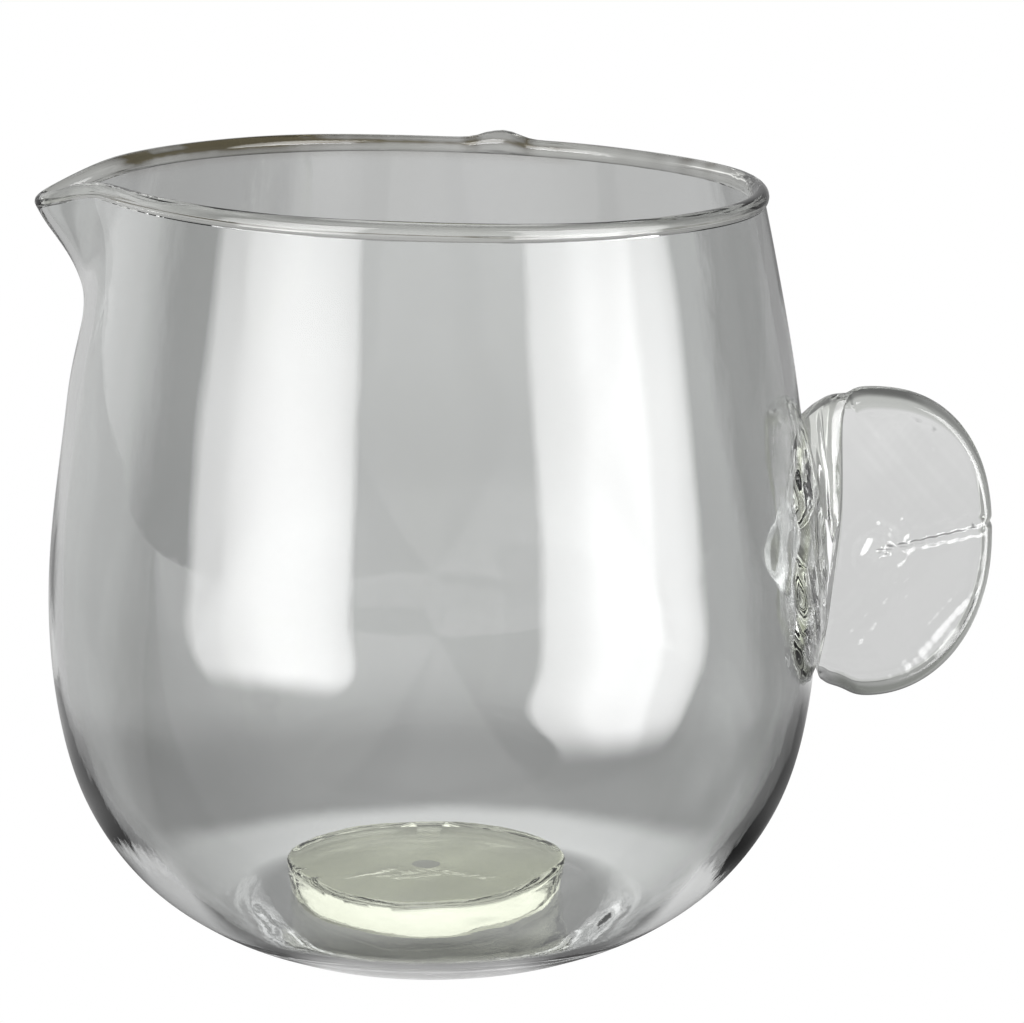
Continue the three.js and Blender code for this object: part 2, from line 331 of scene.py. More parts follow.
@dataclass(frozen=True)
class GlassFinish:
    """Clear blown or pressed glass with the unevenness of handwork.

    Attributes:
        name: Material name.
        tint: Colour of the glass where it is clean.
        streak: Slightly different colour of its faint streaks.
        stain_and_shade: Colour where the piece's stain attribute is full: the glass's own discolouring on the
            belly, lip and seal, and painted shade on the lip bead's upper back and on the disc's rounded
            edge.
        roughness: Roughness of clean glass.
        worn: Roughness where the piece's scuff attribute is full.
        wave_scale: How close the soft waves lie, per metre.
        wave_strength: How strongly they bend the light.
        ripple_scale: How close the fine ripples lie, per metre.
        ripple_strength: How strongly they bend the light.
        stretch: Share of the waves' closeness that is kept along each axis.
    """

    name: str
    tint: tuple[float, float, float]
    streak: tuple[float, float, float]
    stain_and_shade: tuple[float, float, float] = (0.14, 0.085, 0.03)
    roughness: float = 0.0
    worn: float = 0.35
    wave_scale: float = 60.0
    wave_strength: float = 0.05
    ripple_scale: float = 420.0
    ripple_strength: float = 0.01
    stretch: tuple[float, float, float] = (1.0, 1.0, 0.45)

    def build(self) -> bpy.types.Material:
        """Makes the glass material.

        Returns:
            The material, reading Object coordinates and the stain and scuff attributes.
        """
        material = bpy.data.materials.new(self.name)
        material.use_nodes = True
        tree = material.node_tree
        shader = tree.nodes["Principled BSDF"]
        shader.inputs["IOR"].default_value = 1.5
        shader.inputs["Transmission Weight"].default_value = 1.0
        place = tree.nodes.new("ShaderNodeTexCoord")
        mapping = tree.nodes.new("ShaderNodeMapping")
        mapping.inputs["Scale"].default_value = self.stretch
        tree.links.new(place.outputs["Object"], mapping.inputs["Vector"])
        soft = self._noise(tree, mapping.outputs["Vector"], self.wave_scale, 2.0)
        fine = self._noise(tree, mapping.outputs["Vector"], self.ripple_scale, 3.0)
        first = tree.nodes.new("ShaderNodeBump")
        first.inputs["Strength"].default_value = self.wave_strength
        first.inputs["Distance"].default_value = 0.002
        second = tree.nodes.new("ShaderNodeBump")
        second.inputs["Strength"].default_value = self.ripple_strength
        second.inputs["Distance"].default_value = 0.0006
        tree.links.new(soft, first.inputs["Height"])
        tree.links.new(fine, second.inputs["Height"])
        tree.links.new(first.outputs["Normal"], second.inputs["Normal"])
        tree.links.new(second.outputs["Normal"], shader.inputs["Normal"])
        tree.links.new(self._colour(tree, soft), shader.inputs["Base Color"])
        tree.links.new(self._wear(tree), shader.inputs["Roughness"])
        return material

    def _noise(
        self, tree: bpy.types.NodeTree, vector: bpy.types.NodeSocket, scale: float, detail: float
    ) -> bpy.types.NodeSocket:
        """Adds a noise texture.

        Args:
            tree: The material's nodes.
            vector: Socket that tells the place.
            scale: How close the noise lies, per metre.
            detail: How many finer layers it has.

        Returns:
            The socket with its value.
        """
        noise = tree.nodes.new("ShaderNodeTexNoise")
        noise.inputs["Scale"].default_value = scale
        noise.inputs["Detail"].default_value = detail
        noise.inputs["Roughness"].default_value = 0.45
        tree.links.new(vector, noise.inputs["Vector"])
        return noise.outputs["Fac"]

    def _attribute(self, tree: bpy.types.NodeTree, name: str) -> bpy.types.NodeSocket:
        """Reads one of the piece's own attributes.

        Args:
            tree: The material's nodes.
            name: The attribute's name.

        Returns:
            The socket with its value.
        """
        attribute = tree.nodes.new("ShaderNodeAttribute")
        attribute.attribute_name = name
        return attribute.outputs["Fac"]

    def _colour(self, tree: bpy.types.NodeTree, waves: bpy.types.NodeSocket) -> bpy.types.NodeSocket:
        """Mixes tint, streaks and the stain attribute's colour, which is painted shade on the disc's edge and
        the lip's upper back.

        Args:
            tree: The material's nodes.
            waves: The soft noise that spreads the streaks.

        Returns:
            The socket with the finished colour.
        """
        streaks = tree.nodes.new("ShaderNodeValToRGB")
        streaks.color_ramp.elements[0].position = 0.35
        streaks.color_ramp.elements[0].color = (*self.tint, 1.0)
        streaks.color_ramp.elements[1].position = 0.75
        streaks.color_ramp.elements[1].color = (*self.streak, 1.0)
        tree.links.new(waves, streaks.inputs["Fac"])
        mix = tree.nodes.new("ShaderNodeMix")
        mix.data_type = "RGBA"
        # B: the glass's own discolouring, and painted shade on the pieces that use it for shade.
        mix.inputs["B"].default_value = (*self.stain_and_shade, 1.0)
        tree.links.new(self._attribute(tree, "stain_and_shade"), mix.inputs["Factor"])
        tree.links.new(streaks.outputs["Color"], mix.inputs["A"])
        return mix.outputs["Result"]

    def _wear(self, tree: bpy.types.NodeTree) -> bpy.types.NodeSocket:
        """Maps the scuff attribute from clean to worn roughness.

        Args:
            tree: The material's nodes.

        Returns:
            The socket with the roughness.
        """
        spread = tree.nodes.new("ShaderNodeMapRange")
        spread.inputs["To Min"].default_value = self.roughness
        spread.inputs["To Max"].default_value = self.worn
        tree.links.new(self._attribute(tree, "scuff"), spread.inputs["Value"])
        return spread.outputs["Result"]


# ------------------------------------------------------------------ the belly's form


@dataclass
class BellyForm:
    """Shape of the blown belly and its spout, in design millimetres.

    Attributes:
        heights: Heights at which the outside radius is given.
        radii: Outside radius at each of those heights.
        wall: Thickness of the wall.
        lip: Height of the wall's upper edge before it leans.
        lean: How far the lip drops at the handle and rises at the spout.
        keel_heights: Heights at which the spout's reach is given.
        keel_reach: How far the spout stands out at each of them.
        beak_spread: How many degrees the beak takes to fade to a third.
        beak_power: How straight its sides are.
        beak_round: Rounding of its tip in degrees.
        dip: Drop of the lip at the spout.
        dip_spread: Degrees over which that drop fades.
        dent_z: Height of the inward swelling behind the handle.
        dent_depth: How far it stands into the jug.
        dent_height: Its half height.
        dent_angle: Its half width in degrees.
        bowl_r: Inside radii from the floor's middle up to where the even wall starts.
        bowl_z: Height of the inside at each of them.
        wall_from: Height on the outside above which the wall is even.
        wave: Height of the slow unevenness of blown glass.
    """

    heights: tuple[float, ...] = (
        0, 0.5, 1.3, 3, 6, 10, 16, 24, 34, 44, 54, 64, 74, 84, 94, 102, 108, 112.15,
    )
    radii: tuple[float, ...] = (
        25.4, 27.6, 29.7, 33.6, 38.7, 43.7, 48.8, 53.1, 55.8, 57.0, 57.2, 56.5, 55.2, 53.8, 52.2, 50.8,
        49.7, 48.9,
    )
    wall: float = 1.9
    lip: float = 112.15
    lean: float = 1.3
    keel_heights: tuple[float, ...] = (80, 86, 90, 93, 96, 98.5, 101, 104, 107, 109.5, 112.15)
    keel_reach: tuple[float, ...] = (0, 0, -0.3, -0.7, -0.9, -0.2, 1.0, 2.9, 5.3, 7.4, 9.3)
    beak_spread: float = 6.6
    beak_power: float = 1.15
    beak_round: float = 3.4
    dip: float = 2.8
    dip_spread: float = 9.0
    dent_z: float = 58.0
    dent_depth: float = 6.0
    dent_height: float = 7.5
    dent_angle: float = 7.5
    bowl_r: tuple[float, ...] = (0.0, 13.0, 25.0, 30.0, 34.3, 38.8, 43.1, 47.3, 51.1, 53.6)
    bowl_z: tuple[float, ...] = (4.0, 4.0, 4.0, 4.6, 6.2, 9.2, 13.2, 18.5, 25.4, 33.5)
    wall_from: float = 40.0
    wave: float = 0.12

    def __post_init__(self) -> None:
        """Fits the smooth curves through the given sizes."""
        r = np.asarray(self.radii, dtype=float)
        z = np.asarray(self.heights, dtype=float)
        run = np.concatenate([[0.0], np.cumsum(np.hypot(np.diff(r), np.diff(z)))])
        self.length = float(run[-1])
        self.radius_along = NaturalCurve(run, r)
        self.height_along = NaturalCurve(run, z)
        self.keel = NaturalCurve(self.keel_heights, self.keel_reach)
        fine = np.linspace(0.0, self.length, 4000)
        self._fine_run = fine
        self._fine_z = self.height_along(fine)
        across = np.array([40.0, 46.0, 53.0, 61.0])
        low_r = np.asarray(self.bowl_r)
        low_z = np.asarray(self.bowl_z)
        upper = [self._bare_inside(self.run_at(v)) for v in across]
        all_r = np.concatenate([low_r, [p[0] for p in upper]])
        all_z = np.concatenate([low_z, [p[1] for p in upper]])
        bowl_run = np.concatenate([[0.0], np.cumsum(np.hypot(np.diff(all_r), np.diff(all_z)))])
        self.bowl_length = float(bowl_run[len(low_r)])
        self.bowl_radius = NaturalCurve(bowl_run, all_r)
        self.bowl_height = NaturalCurve(bowl_run, all_z)

    def run_at(self, height: Grid | float) -> Grid:
        """Distance along the outside from the standing ring up to a height."""
        return np.interp(height, self._fine_z, self._fine_run)

    def radius_at(self, height: Grid | float) -> Grid:
        """Outside radius at a height, away from the spout."""
        return self.radius_along(self.run_at(height))

    def _bare_inside(self, run: float) -> tuple[float, float]:
        """Inside of the plain wall square to the outside at one place.

        Args:
            run: Distance along the outside.

        Returns:
            Radius and height of the inside.
        """
        step = 0.2
        dr = float(self.radius_along(run + step) - self.radius_along(run - step))
        dz = float(self.height_along(run + step) - self.height_along(run - step))
        size = math.hypot(dr, dz)
        r = float(self.radius_along(run)) - self.wall * dz / size
        z = float(self.height_along(run)) + self.wall * dr / size
        return r, z

    def beak(self, heading: Grid) -> Grid:
        """Fades the spout sideways.

        Args:
            heading: Headings in degrees from +X.

        Returns:
            Share of the keel's reach left at each of them.
        """
        angle = (np.asarray(heading) % 360.0) - 180.0
        rounded = np.sqrt(angle**2 + self.beak_round**2) - self.beak_round
        return np.exp(-((rounded / self.beak_spread) ** self.beak_power))

    def lip_shift(self, heading: Grid) -> Grid:
        """Rise or fall of the lip edge at a heading in degrees."""
        angle = (np.asarray(heading) % 360.0) - 180.0
        return -self.lean * np.cos(np.radians(heading)) - self.dip * bump(angle, 0.0, self.dip_spread)

    def waves(self, heading: Grid, height: Grid, seed: float) -> Grid:
        """Soft unevenness of blown glass.

        Args:
            heading: Headings in degrees.
            height: Heights in millimetres.
            seed: Shifts the pattern, so that inside and outside differ.

        Returns:
            How far the surface stands out, in millimetres.
        """
        a = np.radians(heading)
        z = np.asarray(height) / 57.0
        swell = 0.45 * np.sin(2.0 * a + 2.1 * z + seed) + 0.35 * np.sin(3.0 * a - 3.2 * z + 1.7 * seed)
        swell += 0.22 * np.sin(5.0 * a + 5.3 * z + 2.3 * seed) + 0.12 * np.sin(8.0 * a - 7.1 * z + 0.7 * seed)
        swell += 0.06 * np.sin(13.0 * a + 12.4 * z + 3.1 * seed)
        return self.wave * swell * smoothstep(2.0, 16.0, height)

    def outside(self, heading: Grid, run: Grid) -> Grid:
        """Points on the outside of the belly.

        Args:
            heading: Headings in degrees from +X.
            run: Distances along the outside from the standing ring.

        Returns:
            Points in millimetres, one for each pair.
        """
        heading, run = np.broadcast_arrays(np.asarray(heading, float), np.asarray(run, float))
        z = self.height_along(run)
        radius = self.radius_along(run) + self.keel(z) * self.beak(heading) + self.waves(heading, z, 0.4)
        height = z + self.lip_shift(heading) * (z / self.lip) ** 6
        a = np.radians(heading)
        return np.stack([radius * np.cos(a), radius * np.sin(a), height], axis=-1)

    def outward(self, heading: Grid, run: Grid) -> Grid:
        """Normals of the outside.

        Args:
            heading: Headings in degrees from +X.
            run: Distances along the outside from the standing ring.

        Returns:
            A vector of length 1 for each pair.
        """
        along = self.outside(np.asarray(heading) + 0.3, run) - self.outside(np.asarray(heading) - 0.3, run)
        high = np.minimum(np.asarray(run) + 0.2, self.length)
        low = np.maximum(np.asarray(run) - 0.2, 0.0)
        up = self.outside(heading, high) - self.outside(heading, low)
        return unit_vectors(np.cross(along, up))

    def inside(self, heading: Grid, run: Grid) -> Grid:
        """Points on the inside of the wall.

        Args:
            heading: Headings in degrees from +X.
            run: Distances along the outside.

        Returns:
            Points in millimetres.
        """
        heading, run = np.broadcast_arrays(np.asarray(heading, float), np.asarray(run, float))
        normal = self.outward(heading, run)
        z = self.height_along(run)
        level = 1.0 - np.clip((z - 100.0) / (self.lip - 100.0), 0.0, 1.0)
        normal[..., 2] *= level
        normal = unit_vectors(normal)
        angle = ((heading + 180.0) % 360.0) - 180.0
        dent = self.dent_depth * bump(angle, 0.0, self.dent_angle) * bump(z, self.dent_z, self.dent_height)
        thick = self.wall + dent + self.waves(heading, z, 2.9) * 0.7
        return self.outside(heading, run) - normal * thick[..., None]

    def bowl(self, heading: Grid, run: Grid) -> Grid:
        """Points on the thick lower part of the inside.

        Args:
            heading: Headings in degrees from +X.
            run: Distances from the middle of the floor outwards.

        Returns:
            Points in millimetres.
        """
        heading, run = np.broadcast_arrays(np.asarray(heading, float), np.asarray(run, float))
        z = self.bowl_height(run)
        fade = smoothstep(0.75 * self.bowl_length, self.bowl_length, run)
        radius = self.bowl_radius(run) + self.waves(heading, z, 0.4) * fade
        radius = radius - self.waves(heading, z, 2.9) * 0.7 * fade
        a = np.radians(heading)
        return np.stack([radius * np.cos(a), radius * np.sin(a), z], axis=-1)


@dataclass
class PatchGrid:
    """Grid lines of the belly's outside, bent so that a block of them outlines the seal.

    Attributes:
        columns: How many headings the grid has.
        rows: How many levels it has.
        seal_low: Lower end of the seal in design millimetres.
        seal_high: Upper end of the seal.
        seal_columns: Columns from the seal's middle to its edge.
        squareness: How far the block's square corners are drawn in, from 0 to 1.
        front_heights: Heights at which the seal's front edge is given.
        front_reach: Heading of that edge in degrees at each of them.
        back_heights: Heights at which the seal's back edge is given.
        back_reach: Heading of that edge in degrees at each of them.
    """

    form: BellyForm
    columns: int = 320
    rows: int = 150
    seal_low: float = 40.5
    seal_high: float = 79.5
    seal_columns: int = 31
    squareness: float = 0.5
    front_heights: tuple[float, ...] = (40.5, 45, 47, 50, 55, 60, 62.5, 64.5, 67, 71, 75, 79.5)
    front_reach: tuple[float, ...] = (25, 26, 27.3, 26.4, 24.3, 24.6, 22.2, 19.9, 21, 22.6, 20.2, 19)
    back_heights: tuple[float, ...] = (40.5, 50, 56, 60, 63, 70, 79.5)
    back_reach: tuple[float, ...] = (19, 18, 15.6, 15.4, 17.6, 19.5, 18)

    def __post_init__(self) -> None:
        """Places every grid line."""
        turn = 2.0 * np.pi * np.arange(self.columns) / self.columns
        self.headings = np.degrees(turn - 0.25 * np.sin(2.0 * turn))
        runs = self._runs()
        low = self.form.run_at(self.seal_low)
        high = self.form.run_at(self.seal_high)
        self.row_low = int(np.argmin(np.abs(runs - low)))
        self.row_high = int(np.argmin(np.abs(runs - high)))
        self.runs = runs
        heading, run = np.meshgrid(self.headings, runs)
        centre = 0.5 * (runs[self.row_low] + runs[self.row_high])
        reach_run = 0.5 * (runs[self.row_high] - runs[self.row_low])
        reach_heading = self.headings[self.seal_columns]
        signed = ((heading + 180.0) % 360.0) - 180.0
        self.across = signed / reach_heading
        self.along = (run - centre) / reach_run
        u, v = self.across, self.along
        far = np.maximum(np.abs(u), np.abs(v))
        keep = 1.0 - smoothstep(1.0, 1.9, far)
        pull = self.squareness * keep
        bent_u = u * (1.0 - pull * (1.0 - np.sqrt(1.0 - np.minimum(v**2, 1.0) / 2.0)))
        bent_v = v * (1.0 - pull * (1.0 - np.sqrt(1.0 - np.minimum(u**2, 1.0) / 2.0)))
        self.run = centre + bent_v * reach_run
        height = self.form.height_along(self.run)
        front = NaturalCurve(self.front_heights, self.front_reach)(height)
        back = NaturalCurve(self.back_heights, self.back_reach)(height)
        wanted = np.where(signed < 0.0, front, back)
        self.heading = bent_u * (reach_heading + (wanted - reach_heading) * keep)

    def _runs(self) -> Grid:
        """Spreads the levels, closer together near both ends.

        Returns:
            Distances along the outside from the standing ring to the lip.
        """
        t = np.linspace(0.0, 1.0, self.rows)
        eased = t - 0.045 * np.sin(2.0 * np.pi * t)
        return eased * self.form.length

    def seal_block(self) -> tuple[Grid, Grid, Grid, Grid]:
        """Picks the block of the grid that lies under the seal.

        Returns:
            Its headings and runs, and the places across and along it from -1 to 1.
        """
        picked = np.arange(-self.seal_columns, self.seal_columns + 1) % self.columns
        rows = slice(self.row_low, self.row_high + 1)
        parts = (self.heading, self.run, self.across, self.along)
        return tuple(part[rows][:, picked] for part in parts)


# ------------------------------------------------------------------ pieces


@dataclass
class Site:
    """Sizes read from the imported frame.

    Attributes:
        unit: Metres in one design millimetre.
        pad_x: Middle of the pad on the floor, from side to side.
        pad_radius: Its radius.
        pad_width: Its width by design.
    """

    unit: float = field(init=False)
    pad_x: float = field(init=False)
    pad_radius: float = field(init=False)
    pad_width: float = 42.6

    def __post_init__(self) -> None:
        """Reads the pad, whose width fixes the unit."""
        low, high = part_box(Node.BASE_PAD.value)
        self.unit = float(high[0] - low[0]) / self.pad_width
        self.pad_x = float(high[0] + low[0]) / 2.0 / self.unit
        self.pad_radius = float(high[0] - low[0]) / 2.0 / self.unit

    def span(self, node: Node, axis: int) -> tuple[float, float]:
        """Lowest and highest place of a node along an axis.

        Args:
            node: The frame node.
            axis: 0, 1 or 2 for X, Y or Z.

        Returns:
            Both places in design millimetres.
        """
        low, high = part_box(node.value)
        return float(low[axis]) / self.unit, float(high[axis]) / self.unit


@dataclass
class Vessel:
    """Blown belly with its spout and its flattened, scarred underside.

    Attributes:
        site: Sizes read from the frame.
        form: Shape of the belly.
        grid: Grid lines of its outside.
        under_rows: Rings of the underside.
        inner_rows: Rings of the inside of the even wall.
        bowl_rows: Rings of the bowl down to the pad's edge.
        floor_rows: Rings of the floor under the pad.
        hollow: How far the underside is hollowed.
    """

    site: Site
    form: BellyForm
    grid: PatchGrid
    under_rows: int = 36
    inner_rows: int = 84
    bowl_rows: int = 32
    floor_rows: int = 6
    hollow: float = 0.35

    def _underside(self) -> list[Grid]:
        """Lays out the underside.

        Returns:
            Its rings, from its middle out to the standing ring.
        """
        flat = self.form.radii[0]
        a = np.radians(self.grid.headings)
        rings = []
        for share in np.concatenate([np.linspace(0.02, 0.9, self.under_rows), [0.94, 0.975]]):
            radius = flat * float(share)
            x, y = radius * np.cos(a), radius * np.sin(a)
            lift, _ = self._scar(x, y)
            rings.append(np.stack([x, y, lift], axis=-1))
        return rings

    def _scar(self, x: Grid, y: Grid) -> tuple[Grid, Grid]:
        """Relief of the underside where the rod was broken off.

        Args:
            x: Places across the underside.
            y: Places from front to back.

        Returns:
            Height above the flat and how scuffed the glass is there.
        """
        out = np.hypot(x, y)
        dish = self.hollow * (1.0 - np.minimum(1.0, out / 21.0) ** 2)
        bent = y - 0.4 + 0.02 * (x + 3.0) ** 2 - 0.5 * np.sin(0.7 * x)
        scar = np.exp(-((bent / 1.3) ** 2)) * np.exp(-(((x + 2.0) / 8.0) ** 2))
        scar = scar + 0.6 * np.exp(-((y + 1.8) ** 2)) * np.exp(-(((x + 5.0) / 3.0) ** 2))
        rough = 0.5 + 0.5 * np.sin(2.3 * x + 1.2 * np.sin(1.3 * y)) * np.sin(2.7 * y + 0.8 * x)
        return dish - 0.3 * np.minimum(1.0, scar) * rough, np.minimum(1.0, scar * (0.3 + 0.8 * rough))

    def rings(self) -> Grid:
        """Lays out the whole skin.

        Returns:
            Every ring, from the underside's middle over the lip to the floor's middle.
        """
        rings = self._underside()
        self.first_outer = len(rings)
        outer = self.form.outside(self.grid.heading, self.grid.run)
        rings += list(outer)
        self.last_outer = len(rings) - 1
        top = self.form.length
        bottom = float(self.form.run_at(self.form.wall_from))
        t = np.linspace(0.0, 1.0, self.inner_rows)
        runs = top + (bottom - top) * (t + 0.02 * np.sin(2.0 * np.pi * t))
        rings += list(self.form.inside(self.grid.headings[None, :], runs[:, None]))
        wide = self.site.pad_radius
        steep = np.linspace(self.form.bowl_length, wide, self.bowl_rows + 1)[1:]
        level = np.linspace(wide, 0.0, self.floor_rows + 1)[1:-1]
        runs = np.concatenate([steep, level])
        bowl = self.form.bowl(self.grid.headings[None, :], runs[:, None])
        bowl[..., 0] += self.site.pad_x * (1.0 - smoothstep(wide, wide + 12.0, runs))[:, None]
        rings += list(bowl)
        return np.stack(rings)

    def build(self, glass: bpy.types.Material, weld: bpy.types.Material) -> bpy.types.Object:
        """Makes the vessel.

        Args:
            glass: Finish of its open surfaces.
            weld: Material of the faces inside a joint.

        Returns:
            The finished piece.
        """
        rings = self.rings() * self.site.unit
        count, steps = rings.shape[:2]
        mesh = spun_shell(count, steps)
        stain_and_shade = mesh.verts.layers.float.new("stain_and_shade")
        scuff = mesh.verts.layers.float.new("scuff")
        where: dict[bmesh.types.BMVert, tuple[int, int]] = {}
        floor = float(self.form.bowl_z[0])
        for vert in mesh.verts:
            ring = int(round(vert.co.z))
            if math.hypot(vert.co.x, vert.co.y) < 0.5:
                ring = -1 if ring < 0 else count
                step = 0
            else:
                step = int(round(math.atan2(vert.co.y, vert.co.x) / (2.0 * math.pi) * steps)) % steps
            where[vert] = (ring, step)
        stains = self._stains(rings / self.site.unit)
        for vert, (ring, step) in where.items():
            if ring < 0:
                vert.co = Vector((0.0, 0.0, self.hollow)) * self.site.unit
            elif ring >= count:
                vert.co = Vector((self.site.pad_x, 0.0, floor)) * self.site.unit
            else:
                vert.co = Vector(rings[ring, step])
                vert[stain_and_shade] = float(stains[ring, step])
            worn = 0.0
            if ring < self.first_outer:
                worn = float(self._scar(vert.co.x / self.site.unit, vert.co.y / self.site.unit)[1])
                vert[stain_and_shade] = 0.3 * worn
            vert[scuff] = worn
        for face in mesh.faces:
            spots = [where[vert] for vert in face.verts]
            face.material_index = int(self._skin(spots, steps))
        return GlassPiece("belly", Node.VESSEL, Slot.VESSEL).finish(mesh, [glass, weld])

    def _skin(self, spots: list[tuple[int, int]], steps: int) -> Skin:
        """Tells whether a face lies inside a joint.

        Args:
            spots: Ring and step of the face's corners.
            steps: How many steps a ring has.

        Returns:
            WELD along the lip's edge and under the seal.
        """
        rings = [spot[0] for spot in spots]
        if min(rings) == self.last_outer and max(rings) == self.last_outer + 1:
            return Skin.WELD
        low = self.first_outer + self.grid.row_low
        high = self.first_outer + self.grid.row_high
        if min(rings) < low or max(rings) > high:
            return Skin.GLASS
        sides = [((spot[1] + steps // 2) % steps) - steps // 2 for spot in spots]
        reach = self.grid.seal_columns
        return Skin.WELD if max(sides) <= reach and min(sides) >= -reach else Skin.GLASS

    def _stains(self, rings: Grid) -> Grid:
        """Amber discolouring that creeps down from the lip's crease at the back.

        Args:
            rings: Every ring in design millimetres.

        Returns:
            A share from 0 to 1 for each point.
        """
        stain_and_shade = np.zeros(rings.shape[:2])
        heading = self.grid.headings[None, :]
        share = lip_stain(heading, 0)
        depth = self.form.length - np.asarray(self.grid.runs)[:, None]
        stain_and_shade[self.first_outer : self.last_outer + 1] = 0.3 * share * np.exp(-((depth / 0.8) ** 2))
        inside = slice(self.last_outer + 1, self.last_outer + 1 + self.inner_rows)
        inner = rings[inside]
        fall = inner[:1, :, 2] - inner[..., 2]
        stain_and_shade[inside] = 0.3 * share * np.exp(-((fall / 0.8) ** 2))
        return stain_and_shade


def lip_stain(heading: Grid, part: int) -> Grid:
    """How strongly the lip's crease is stained at a heading.

    Args:
        heading: Headings in degrees from +X.
        part: 0 for the fine line in the crease, 1 for the darker smear in the bead.

    Returns:
        A share from 0 to 1 at each heading.
    """
    h = np.asarray(heading, float) % 360.0
    ragged = 0.86 + 0.14 * np.sin(np.radians(h) * 61.0 + 1.3) * np.sin(np.radians(h) * 23.0)
    line = smoothstep(58.0, 66.0, h) * (1.0 - smoothstep(158.0, 168.0, h))
    if part == 0:
        return np.clip(line * ragged * 0.85, 0.0, 1.0)
    smear = 1.5 * bump(h, 126.0, 11.0) + 1.1 * bump(h, 159.0, 6.0) + 0.5 * bump(h, 143.0, 8.0)
    ends = 0.7 * bump(h, 82.3, 1.3) + 0.8 * bump(h, 71.8, 1.3) + 0.35 * bump(h, 105.0, 14.0)
    olive = 0.45 * bump(h, 32.0, 12.0) * (0.5 + 0.5 * np.sin(np.radians(h) * 44.0))
    return np.clip((smear + ends) * ragged + olive, 0.0, 1.0)


@dataclass
class LipWrap:
    """Bead of glass laid round the lip, thicker where its ends lap at the back.

    Attributes:
        site: Sizes read from the frame.
        form: Shape of the belly.
        grid: Grid lines of the belly's outside, whose headings the bead shares.
        radius: Radius of the bead.
        sides: Points round each section.
        lap_heading: Heading of the lap in degrees.
        lap_reach: Half length of the lap.
        lap_rise: How much thicker the bead is there.
        tip_thin: Share by which it is thinner at the spout's tip.
    """

    site: Site
    form: BellyForm
    grid: PatchGrid
    radius: float = 1.45
    sides: int = 30
    lap_heading: float = 77.0
    lap_reach: float = 3.5
    lap_rise: float = 0.60
    tip_thin: float = 0.22

    def sections(self) -> Grid:
        """Lays out every section, from the outer edge of the wall over to the inner.

        Returns:
            Points indexed by side and then step.
        """
        heading = self.grid.headings
        outer = self.form.outside(heading, self.form.length)
        inner = self.form.inside(heading, self.form.length)
        across = outer - inner
        half = 0.5 * np.linalg.norm(across, axis=-1)
        out = unit_vectors(across)
        middle = 0.5 * (outer + inner)
        uneven = 1.0 + 0.035 * np.sin(3.0 * np.radians(heading) + 0.6)
        uneven = uneven + 0.02 * np.sin(np.radians(heading) * 7.0)
        reach = (heading - self.lap_heading) * math.radians(1.0) * 48.0
        lump = np.exp(-(np.abs(reach / self.lap_reach) ** 2.4)) - 0.4 * bump(reach, 0.5, 0.4)
        thin = 1.0 - self.tip_thin * bump(heading, 180.0, 5.0)
        radius = self.radius * uneven * thin + self.lap_rise * np.clip(lump, 0.0, 1.0)
        rise = np.sqrt(np.maximum(radius**2 - half**2, 0.01))
        start = -np.arctan2(rise, half)
        points = []
        centre = middle + np.stack([0 * rise, 0 * rise, rise], axis=-1)
        for k in range(self.sides - 1):
            a = start + (math.pi - 2.0 * start) * k / (self.sides - 2)
            side = out * (radius * np.cos(a))[:, None]
            up = np.stack([0 * rise, 0 * rise, radius * np.sin(a)], axis=-1)
            points.append(centre + side + up)
        points.append(middle)
        points[0] = outer
        points[self.sides - 2] = inner
        return np.stack(points)

    def build(self, glass: bpy.types.Material, weld: bpy.types.Material) -> bpy.types.Object:
        """Makes the bead.

        Args:
            glass: Finish of its open surface.
            weld: Material of the strip that lies on the wall's edge.

        Returns:
            The finished piece.
        """
        points = self.sections() * self.site.unit
        sides, steps = points.shape[:2]
        mesh = spun_tube(sides, steps)
        stain_and_shade = mesh.verts.layers.float.new("stain_and_shade")
        scuff = mesh.verts.layers.float.new("scuff")
        where: dict[bmesh.types.BMVert, tuple[int, int]] = {}
        for vert in mesh.verts:
            step = int(round(math.atan2(vert.co.y, vert.co.x) / (2.0 * math.pi) * steps)) % steps
            flat = math.hypot(vert.co.x, vert.co.y) - 3.0
            side = int(round(math.atan2(vert.co.z, flat) / (2.0 * math.pi) * sides)) % sides
            where[vert] = (side, step)
        line = lip_stain(self.grid.headings, 0)
        smear = lip_stain(self.grid.headings, 1)
        # back: headings along the back of the jug, where the bead's upper half gets painted shade.
        back = smoothstep(-8.0, 12.0, 90.0 - np.abs(self.grid.headings - 90.0))
        for vert, (side, step) in where.items():
            vert.co = Vector(points[side, step])
            creep = math.exp(-(((side - 0.70 * self.sides) / (0.055 * self.sides)) ** 2))
            spread = math.exp(-(((side - 0.58 * self.sides) / (0.22 * self.sides)) ** 2))
            # Painted shade: the upper half of the bead is darkened along the back of the jug.
            top = math.exp(-(((side - 0.52 * self.sides) / (0.09 * self.sides)) ** 2))
            painted_shade_top = 0.32 * float(back[step]) * top
            # worn: amber discolouring of the crease and bead, plus that painted shade.
            worn = 1.2 * float(line[step]) * creep
            worn = worn + 1.35 * float(smear[step]) * (0.2 + 0.8 * spread) + painted_shade_top
            vert[stain_and_shade] = min(1.0, worn)
            vert[scuff] = 0.0
        for face in mesh.faces:
            sides_here = {where[vert][0] for vert in face.verts}
            inside = sides_here <= {self.sides - 2, self.sides - 1} or sides_here <= {self.sides - 1, 0}
            face.material_index = int(Skin.WELD if inside else Skin.GLASS)
        return GlassPiece("lip_bead", Node.LIP_WRAP, Slot.LIP).finish(mesh, [glass, weld])


